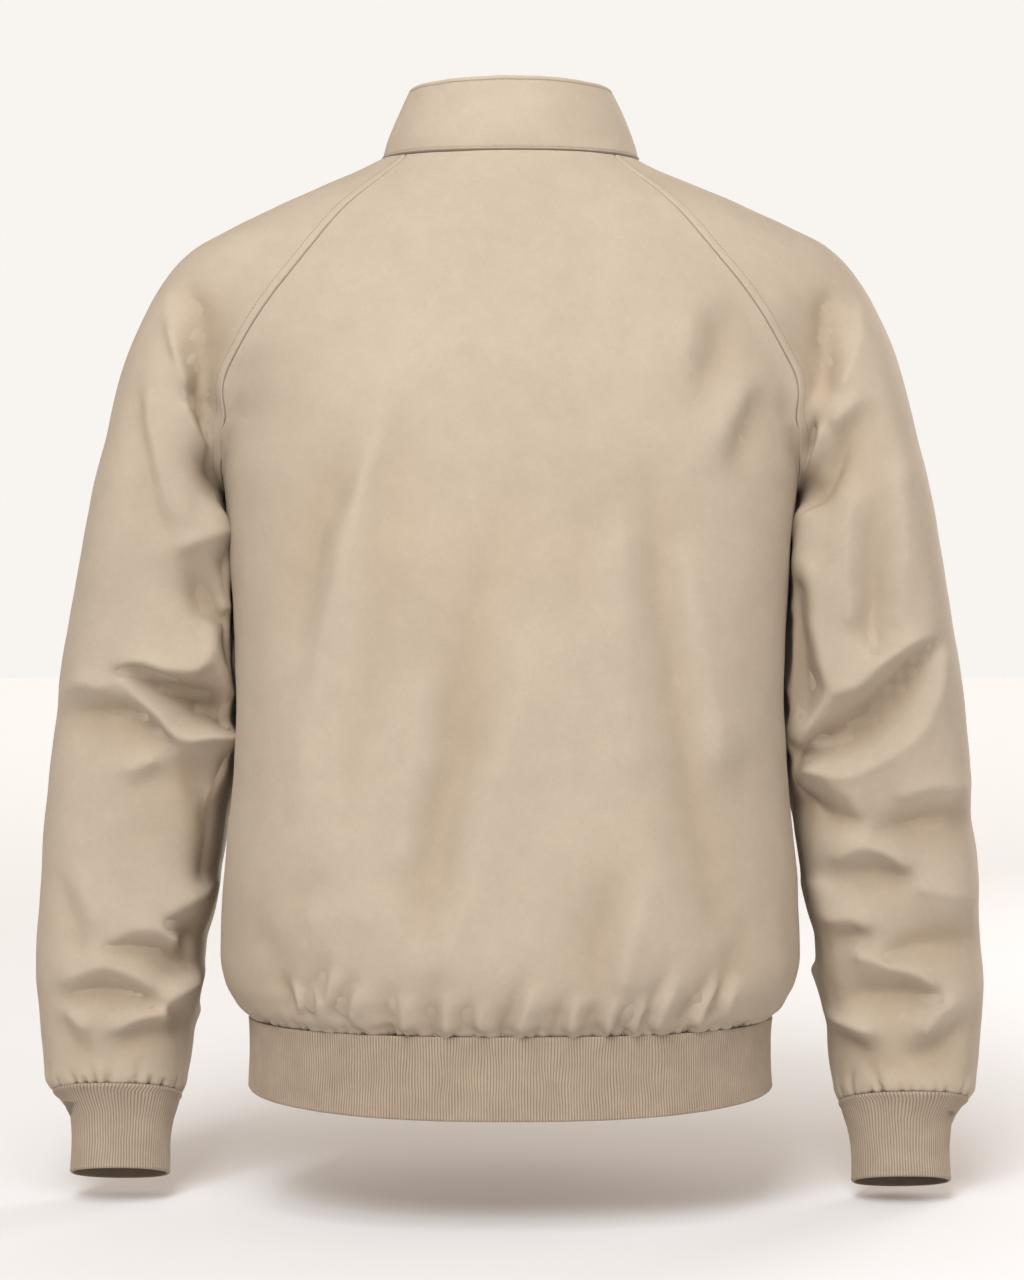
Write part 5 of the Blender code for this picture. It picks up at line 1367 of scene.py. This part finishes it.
def rib_band(name, rows, count, closed, seed):
    """A rib knit band from raw rows, its lower edge rounded over and its upper edge tucked into the seam."""
    columns = count * POINTS_A_RIB + 1
    coarse = np.stack([resampled(row, columns) for row in rows])
    depth = lengths(coarse[:, 0])
    middle = np.linspace(RIB_MIDDLE_FROM, depth[-1] - RIB_MIDDLE_TO, RIB_MIDDLE_ROWS)
    at = np.concatenate([RIB_TOP_STEPS, middle, depth[-1] - RIB_EDGE_STEPS])
    share = at / depth[-1]
    grid = np.stack([table_at(share, depth / depth[-1], coarse[:, c]) for c in range(columns)], axis=1)
    normals = normals_of(grid, 0 if closed else None)
    crown = ribs(columns)[None, :] * np.ones((len(at), 1))
    chance = swells(grid, seed, *RIB_SWAY)
    along = unit(np.gradient(grid, axis=1))
    from_top, from_bottom = at[:, None], (at[-1] - at)[:, None]
    push = RIB_HEIGHT * crown * smooth(from_bottom / 0.8 + 0.35)
    push = push - RIB_TUCK * bell(from_top / 1.0) + swells(grid, seed + 1, *RIB_SWELL)
    push = push - RIB_LINE_DEPTH * bell((from_bottom - RIB_LINE_AT) / 0.5)
    outer = grid + normals * push[..., None] + along * (chance * smooth(from_bottom / 20))[..., None]
    downward = unit(np.gradient(grid, axis=0))[-1]
    turned = []
    for drop, depth_in in RIB_ROUNDING:
        turned.append(outer[-1] + downward * drop - normals[-1] * depth_in)
    outer = np.concatenate([outer, np.stack(turned)])
    inner = grid - normals * RIB_SHELL
    inner = np.concatenate([inner, np.repeat(inner[-1:], len(turned), axis=0) + downward * 0.5])
    if closed:
        outer[:, -1], inner[:, -1] = outer[:, 0], inner[:, 0]
    # The crowns also go to the colour, as painted shade in the grooves between the ribs.
    tint = np.concatenate([crown, np.repeat(crown[-1:], len(turned), axis=0)])
    step = (4, 2 * POINTS_A_RIB)
    return shell(name, outer, inner, {"rib": tint}, knit, 0 if closed else None, step)


def hem_rows():
    """The hem's band, from the seam down, from the zip round the wearer's left, the back and the right."""
    rows = []
    for share in np.linspace(0, 1, 15):
        z = HEM_SEAM_Z + (HEM_EDGE_Z - HEM_SEAM_Z) * share
        start = float(torso_angle(ZIP_OPENING, z, True))
        angles = np.linspace(start, math.pi - start, 2400)
        rise = HEM_SIDE_RISE * share * np.cos(angles) ** 2
        rows.append(torso_point(z, angles) + np.outer(rise, (0, 0, 1)))
    return rows


def cuff_rows(ring, side):
    """A cuff, from the sleeve's last ring down its leaning axis, through smooth sections."""
    centre = ring[:-1].mean(axis=0)
    across = np.array([0.0, -CUFF_DOWN[2], CUFF_DOWN[1]])
    turns = np.linspace(math.pi, -math.pi, 1201)
    power = 2 / SLEEVE_SQUARE
    settled, drifted, _, end = (section[0] for section in CUFF_SECTIONS)
    first = resampled(ring, len(turns))
    rows = [first]
    for along in np.linspace(CUFF_FIRST_ROW, end, CUFF_ROWS):
        x = SIGN[side] * CUFF["half_width"](along) * signed_power(np.cos(turns), power)
        y = CUFF["half_depth"](along) * signed_power(np.sin(turns), power)
        drift = np.array([-SIGN[side] * CUFF_DRIFT * smooth(along / drifted), 0, 0])
        row = centre + drift + CUFF_DOWN * along + np.outer(x, (1.0, 0.0, 0.0)) + np.outer(y, across)
        share = float(smooth(along / settled))
        rows.append(resampled(row, len(turns)) * share + (first + CUFF_DOWN * along) * (1 - share))
    return rows


def zip_to_zip(half_width, count=1600):
    """Angles of a line round the neck, from one side of the zip to the other."""
    edge = math.asin(ZIP_OPENING / half_width)
    return np.linspace(math.pi - edge, edge - math.pi, count)


def collar_edges():
    """The collar's lower and upper edge, both from one side of the zip to the other."""
    low = neck_line(zip_to_zip(NECK_HALF_WIDTH))
    return low, oval(zip_to_zip(COLLAR_HALF_WIDTH), COLLAR_HALF_WIDTH, COLLAR_BACK, COLLAR_SIDE, COLLAR_FRONT)


def make_collar():
    """The stand collar, from the neck seam up: low row, high row, and what swells between them."""
    edges = collar_edges()
    low, high = (read_at(line, spaced(lengths(line)[-1], COLLAR_GRID[1], True, True)) for line in edges)
    outward = unit(high * (1, 1, 0) - (0, COLLAR_SIDE[0], 0))
    height = float(np.linalg.norm(high - low, axis=1).mean())
    at = spaced(height, COLLAR_GRID[0], True, True, COLLAR_STEPS)
    t = (at / height)[:, None, None]
    grid = low + (high - low) * t + outward * COLLAR_FLARE * np.sin(math.pi * t)
    normals = normals_of(grid)
    from_low, from_high = at[:, None], (height - at)[:, None]
    across = cloth_coordinates(grid)[0]
    ends = across[:, -1:] - np.abs(across)
    push = sum(swells(grid, *swell) for swell in COLLAR_SWELLS)
    push *= smooth(from_low / 12) * 0.7 + 0.3
    push += COLLAR_BULGE * bell((from_low - 0.9) / 1.0) - COLLAR_SINK * bell(from_low / 0.45)
    rows = [from_low - COLLAR_STITCH_LOW, from_high - COLLAR_STITCH_HIGH]
    for away in (*rows, ends - COLLAR_STITCH_END):
        push = push - COLLAR_GROOVE[0] * bell(away / COLLAR_GROOVE[1])
    push = push - ROLL * bell(ends / ROLL_REACH)
    outer = grid + normals * push[..., None]
    upward = unit(high - low)
    turned = []
    reach = COLLAR_SHELL / 2
    for turn in (0.35, 0.8, 1.25):
        inward = normals[-1] * reach * (1 - math.cos(turn))
        turned.append(outer[-1] + upward * reach * math.sin(turn) - inward)
    outer = np.concatenate([outer, np.stack(turned)])
    inner = grid + normals * (push * 0.3 - COLLAR_SHELL)[..., None]
    inner = inner - upward * (COLLAR_TUCK * bell(from_low / 0.8))[..., None]
    inner = np.concatenate([inner, np.repeat(inner[-1:], len(turned), axis=0) + upward * 0.6])
    # Tones of the collar's colour: lighter on its turned edges above the seam and along the top, partly worn
    # and partly a painted highlight, and painted shade down in the seam and in the stitch grooves.
    collar_worn_and_painted_light = bell((from_low - 1.0) / 0.9) - SEAM_PAINTED_SHADE * bell(from_low / 0.5)
    collar_worn_and_painted_light = collar_worn_and_painted_light + bell(from_high / 1.2)
    for away in rows:
        collar_worn_and_painted_light = collar_worn_and_painted_light - STITCH_PAINTED_SHADE * bell(away / COLLAR_GROOVE[1])
    collar_worn_and_painted_light = np.concatenate([collar_worn_and_painted_light + 0 * ends, np.ones((len(turned), len(low)))])
    piece = shell("cloth_collar", outer, inner, {"edge": collar_worn_and_painted_light}, cotton, None, (3, 4))
    ride(piece, "cotton", "collar")
    levels_at = (COLLAR_STITCH_LOW, height - COLLAR_STITCH_HIGH)
    return piece, [(outer[np.argmin(np.abs(at - level))], normals[len(at) // 2]) for level in levels_at]


# ---------------------------------------------------------------- stitches


def stitches(name, lines, radius=STITCH_RADIUS):
    """Topstitches along lines of (points, normals): each is a short arch that dives in at both ends."""
    sides = stations = 5
    arch = np.linspace(0, math.pi, stations)
    turn = np.linspace(0, 2 * math.pi, sides, endpoint=False)
    thick = radius * (0.35 + 0.65 * np.sin(arch) ** 0.6)
    lift = STITCH_RISE * np.sin(arch) - STITCH_DIVE
    steps = -np.cos(arch) * STITCH_LENGTH / 2
    points, faces = [], []
    for line, normals in lines:
        middles = np.arange(STITCH_PITCH, lengths(line)[-1] - STITCH_PITCH, STITCH_PITCH)
        centre = read_at(line, middles)
        ahead = unit(read_at(line, middles + 0.5) - read_at(line, middles - 0.5))
        out = unit(table_at(middles, lengths(line), normals))
        aside = unit(np.cross(ahead, out))
        for c, a, o, s in zip(centre, ahead, out, aside):
            start = len(points) * sides * stations
            ring = c + a * steps[:, None] + o * lift[:, None]
            round_it = np.cos(turn)[:, None] * o + np.sin(turn)[:, None] * s
            points.append((ring[:, None] + thick[:, None, None] * round_it).reshape(-1, 3))
            for i in range(stations - 1):
                for k in range(sides):
                    low, high = start + i * sides, start + (i + 1) * sides
                    faces.append((low + k, low + (k + 1) % sides, high + (k + 1) % sides, high + k))
            faces.append(tuple(start + k for k in range(sides)))
            faces.append(tuple(start + (stations - 1) * sides + k for k in reversed(range(sides))))
    piece = make_mesh(name, np.concatenate(points), faces, None, {}, thread, weld=False)
    return ride(piece, "cotton")


def column_line(cloth, rows, first):
    """The line of topstitches down the cloth beside its first or last column."""
    distance = cloth.from_first if first else cloth.from_last
    points, normals = [], []
    for j in rows:
        order = np.argsort(distance[j])
        points.append(table_at(TOPSTITCH_AT, distance[j][order], cloth.outer[j, order]))
        normals.append(table_at(TOPSTITCH_AT, distance[j][order], cloth.normals[j, order]))
    return np.array(points), np.array(normals)


# ---------------------------------------------------------------- zip


def zip_line(left, collar_column, hem_column):
    """The cloth's edge beside the zip as points in the middle plane, from the collar down to the hem."""
    rows = np.concatenate([collar_column[::-1], left.grid[1:, -1], hem_column[1:]])
    return rows * (0, 1, 1)


def zip_directions(line):
    """How far along the zip its points are, and which ways are down it and out of the cloth there."""
    along = lengths(line)
    down = unit(np.gradient(line, along, axis=0))
    return along, down, np.stack([0 * along, down[:, 2], -down[:, 1]], axis=1)


def make_teeth(line):
    """Rows of small brass teeth, left and right in turn, meshed along the middle."""
    along, down, out = zip_directions(line)
    places = np.arange(TEETH_FROM, along[-1] - TEETH_TO, TOOTH_PITCH / 2)
    points, faces = [], []
    for i, at in enumerate(places):
        c, d, o = (table_at(at, along, table) for table in (line, down, out))
        sign = 1 if i % 2 else -1
        near, far = -TOOTH_OVER * sign, sign * TOOTH_WIDTH / 2
        half, tip = TOOTH_LENGTH / 2, TOOTH_TIP * TOOTH_LENGTH / 2
        outline = [(near, tip), (far, half), (far, -half), (near, -tip)]
        start = len(points)
        top, bottom = TOOTH_DEPTH
        for depth, shrink in ((top, TOOTH_CROWN), (top + TOOTH_CHAMFER, 1.0), (bottom, 1.0)):
            for x, z in outline:
                points.append(c + np.array([x * (0.92 + 0.08 * shrink), 0, 0]) + d * z * shrink - o * depth)
        for layer in range(2):
            for k in range(4):
                low, high = start + 4 * layer, start + 4 * layer + 4
                faces.append((low + k, low + (k + 1) % 4, high + (k + 1) % 4, high + k))
        faces.append((start, start + 3, start + 2, start + 1))
        faces.append(tuple(start + 8 + k for k in range(4)))
    piece = make_mesh("zip_teeth", np.array(points), faces, None, {}, brass, weld=False)
    piece.data.set_sharp_from_angle(angle=math.radians(35))
    return ride(piece, "zip_metal", "zip_chain")


def make_tape_edges(line):
    """The woven edges of both tapes, which the teeth grip: a narrow strip left and right of the middle."""
    along, _, out = zip_directions(line)
    places = np.linspace(TAPE_FROM, along[-1] - TAPE_TO, TAPE_ROWS)
    centre, outward = (table_at(places, along, table) for table in (line, out))
    (near, far), (top, bottom) = TAPE_EDGE, TAPE_EDGE_DEPTH
    points, faces = [], []
    for sign in (1, -1):
        rings = []
        for x, depth in ((near, top), (far, top), (far, bottom), (near, bottom), (near, top)):
            rings.append(centre + np.array([sign * x, 0, 0]) - outward * depth)
        index, quads = grid_faces(len(places), len(rings), len(points) * len(places) * len(rings))
        faces += quads + [tuple(index[end, :4].tolist()) for end in (0, -1)]
        points.append(np.stack(rings, axis=1).reshape(-1, 3))
    return ride(make_mesh("tape_edges", np.concatenate(points), faces, None, {}, tape_cloth), "zip_tape")


def softened(node, name, width, body="jacket"):
    """A finer piece with a CAD node's form: the same shape with rounded edges."""
    piece = put(name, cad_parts[node].data.copy())
    piece.data.materials.clear()
    piece.data.materials.append(brass)
    shape = bmesh.new()
    shape.from_mesh(piece.data)
    bmesh.ops.remove_doubles(shape, verts=shape.verts, dist=1e-6)
    bmesh.ops.dissolve_limit(shape, angle_limit=math.radians(2), verts=shape.verts, edges=shape.edges)
    shape.to_mesh(piece.data)
    shape.free()
    bevel = piece.modifiers.new("rounded_edges", "BEVEL")
    bevel.width = width * MM
    bevel.segments = 3
    bevel.limit_method = "ANGLE"
    piece.data.shade_smooth()
    piece.data.set_sharp_from_angle(angle=math.radians(40))
    return ride(piece, "zip_metal", node, body=body)


# ---------------------------------------------------------------- the jacket


def make_jacket():
    seams = cap_seams()
    front = front_grid(seams)
    panels = {
        "back": make_panel("back", back_grid(seams)),
        "front_left": make_panel("front_left", front),
        "front_right": make_panel("front_right", mirrored(front)),
        "sleeve_left": make_panel("sleeve_left", sleeve_grid(seams, "left"), CAP_GRID_ROWS - 1),
        "sleeve_right": make_panel("sleeve_right", sleeve_grid(seams, "right"), CAP_GRID_ROWS - 1),
    }
    collar, collar_lines = make_collar()
    hem = hem_rows()
    hem_piece = ride(rib_band("rib_hem", hem, HEM_RIBS, False, 31), "rib_knit", "hem_rib")
    for side, seed in (("left", 41), ("right", 42)):
        ring = panels[f"sleeve_{side}"].grid[-1]
        piece = rib_band(f"rib_cuff_{side}", cuff_rows(ring, side), CUFF_RIBS, True, seed)
        ride(piece, "rib_knit", f"cuff_{side}")

    # Topstitches stop a few rows short of the seams that they run into.
    raglan_rows, zip_rows = range(2, CAP_GRID_ROWS - 4), range(3, len(front) - 4)
    raglans = []
    for side in ("left", "right"):
        cloth = panels[f"sleeve_{side}"]
        raglans += [column_line(cloth, raglan_rows, first) for first in (True, False)]
    raglan_thread = stitches("stitches_raglan", raglans)
    collar_thread = stitches("stitches_collar", collar_lines, COLLAR_STITCH_RADIUS)
    zips = [column_line(panels[f"front_{side}"], zip_rows, False) for side in ("left", "right")]
    zip_thread = stitches("stitches_zip", zips)

    collar_column = np.linspace(*(edge[0] for edge in collar_edges()), 12)
    line = zip_line(panels["front_left"], collar_column, np.array([row[0] for row in hem]))
    make_teeth(line)
    tape_edges = make_tape_edges(line)
    softened("zip_slider", "slider_body", 0.28)
    softened("zip_box", "retainer_box", 0.3)
    softened("zip_pull", "pull_tab", 0.28, body="pull_tab")
    for side in ("left", "right"):
        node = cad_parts[f"zip_tape_{side}"]
        node.data.materials.clear()
        node.data.materials.append(tape_cloth)


# ---------------------------------------------------------------- camera, light and floor


def make_camera():
    camera = put("camera", bpy.data.cameras.new("camera"))
    camera.location = CAMERA_AT
    camera.rotation_euler = (math.radians(90), 0, math.radians(180))
    camera.data.sensor_width = SENSOR
    camera.data.lens = FOCAL_PIXELS * SENSOR / FRAME_HEIGHT
    camera.data.shift_x = CENTRE_OFF_PIXELS / FRAME_HEIGHT
    bpy.context.scene.camera = camera


def make_lamp(name, place, size, power, spread, colour):
    """A square soft light that shines from its place on the jacket."""
    lamp = bpy.data.lights.new(name, "AREA")
    lamp.energy, lamp.size, lamp.spread, lamp.color = power, size, math.radians(spread), colour
    obj = put(name, lamp)
    obj.location = place
    way = np.array(LIT_POINT) - place
    pitch = math.atan2(math.hypot(way[0], way[1]), -way[2])
    obj.rotation_euler = (pitch, 0, math.atan2(-way[0], way[1]))


def make_world():
    """Pale all round: brightest behind the jacket, dimmer on the camera's side and overhead."""
    world = bpy.data.worlds.new("studio")
    bpy.context.scene.world = world
    n = Nodes(world, "Background")
    split = n.add("ShaderNodeSeparateXYZ", {0: n.place("Generated")})
    shares = []
    for axis, limits in (("Y", WORLD_DEPTH), ("Z", WORLD_HEIGHT)):
        inputs = dict(zip(("From Min", "From Max", "To Min", "To Max"), limits), Value=split.outputs[axis])
        share = n.add("ShaderNodeMapRange", inputs, interpolation_type="SMOOTHSTEP")
        shares.append(share.outputs["Result"])
    strength = n.math("MULTIPLY", *shares)
    inputs = {0: strength, 6: WORLD_SHADE, 7: WORLD_COLOUR}
    colour = n.add("ShaderNodeMix", inputs, data_type="RGBA").outputs[2]
    n.set(color=colour, strength=strength)


def make_floor():
    """A wide pale floor with a glow of its own that grows further out, where the lamps fade. Its warm glow
    near the middle is painted bounce light from the jacket.
    """
    bpy.ops.mesh.primitive_plane_add(size=60, location=(0, 0, FLOOR_Z))
    floor = bpy.context.object
    floor.name = "floor"
    n = Nodes(bpy.data.materials.new("pale_floor"))
    away = n.add("ShaderNodeVectorMath", {"Vector": n.place()}, operation="LENGTH").outputs["Value"]
    near = n.math("POWER", math.exp(-1 / GLOW_REACH), away)
    glow = n.add("ShaderNodeMix", {0: near, 6: GLOW_FAR, 7: GLOW_NEAR_PAINTED_BOUNCE}, data_type="RGBA").outputs[2]
    n.set(base_color=FLOOR_COLOUR, roughness=0.7, specular_ior_level=0.2)
    n.set(emission_color=glow, emission_strength=1.0)
    floor.data.materials.append(n.owner)


def make_studio():
    make_world()
    make_floor()
    for lamp in LAMPS:
        make_lamp(*lamp)
    bpy.context.scene.view_settings.view_transform = "Standard"


make_camera()
make_studio()
make_jacket()
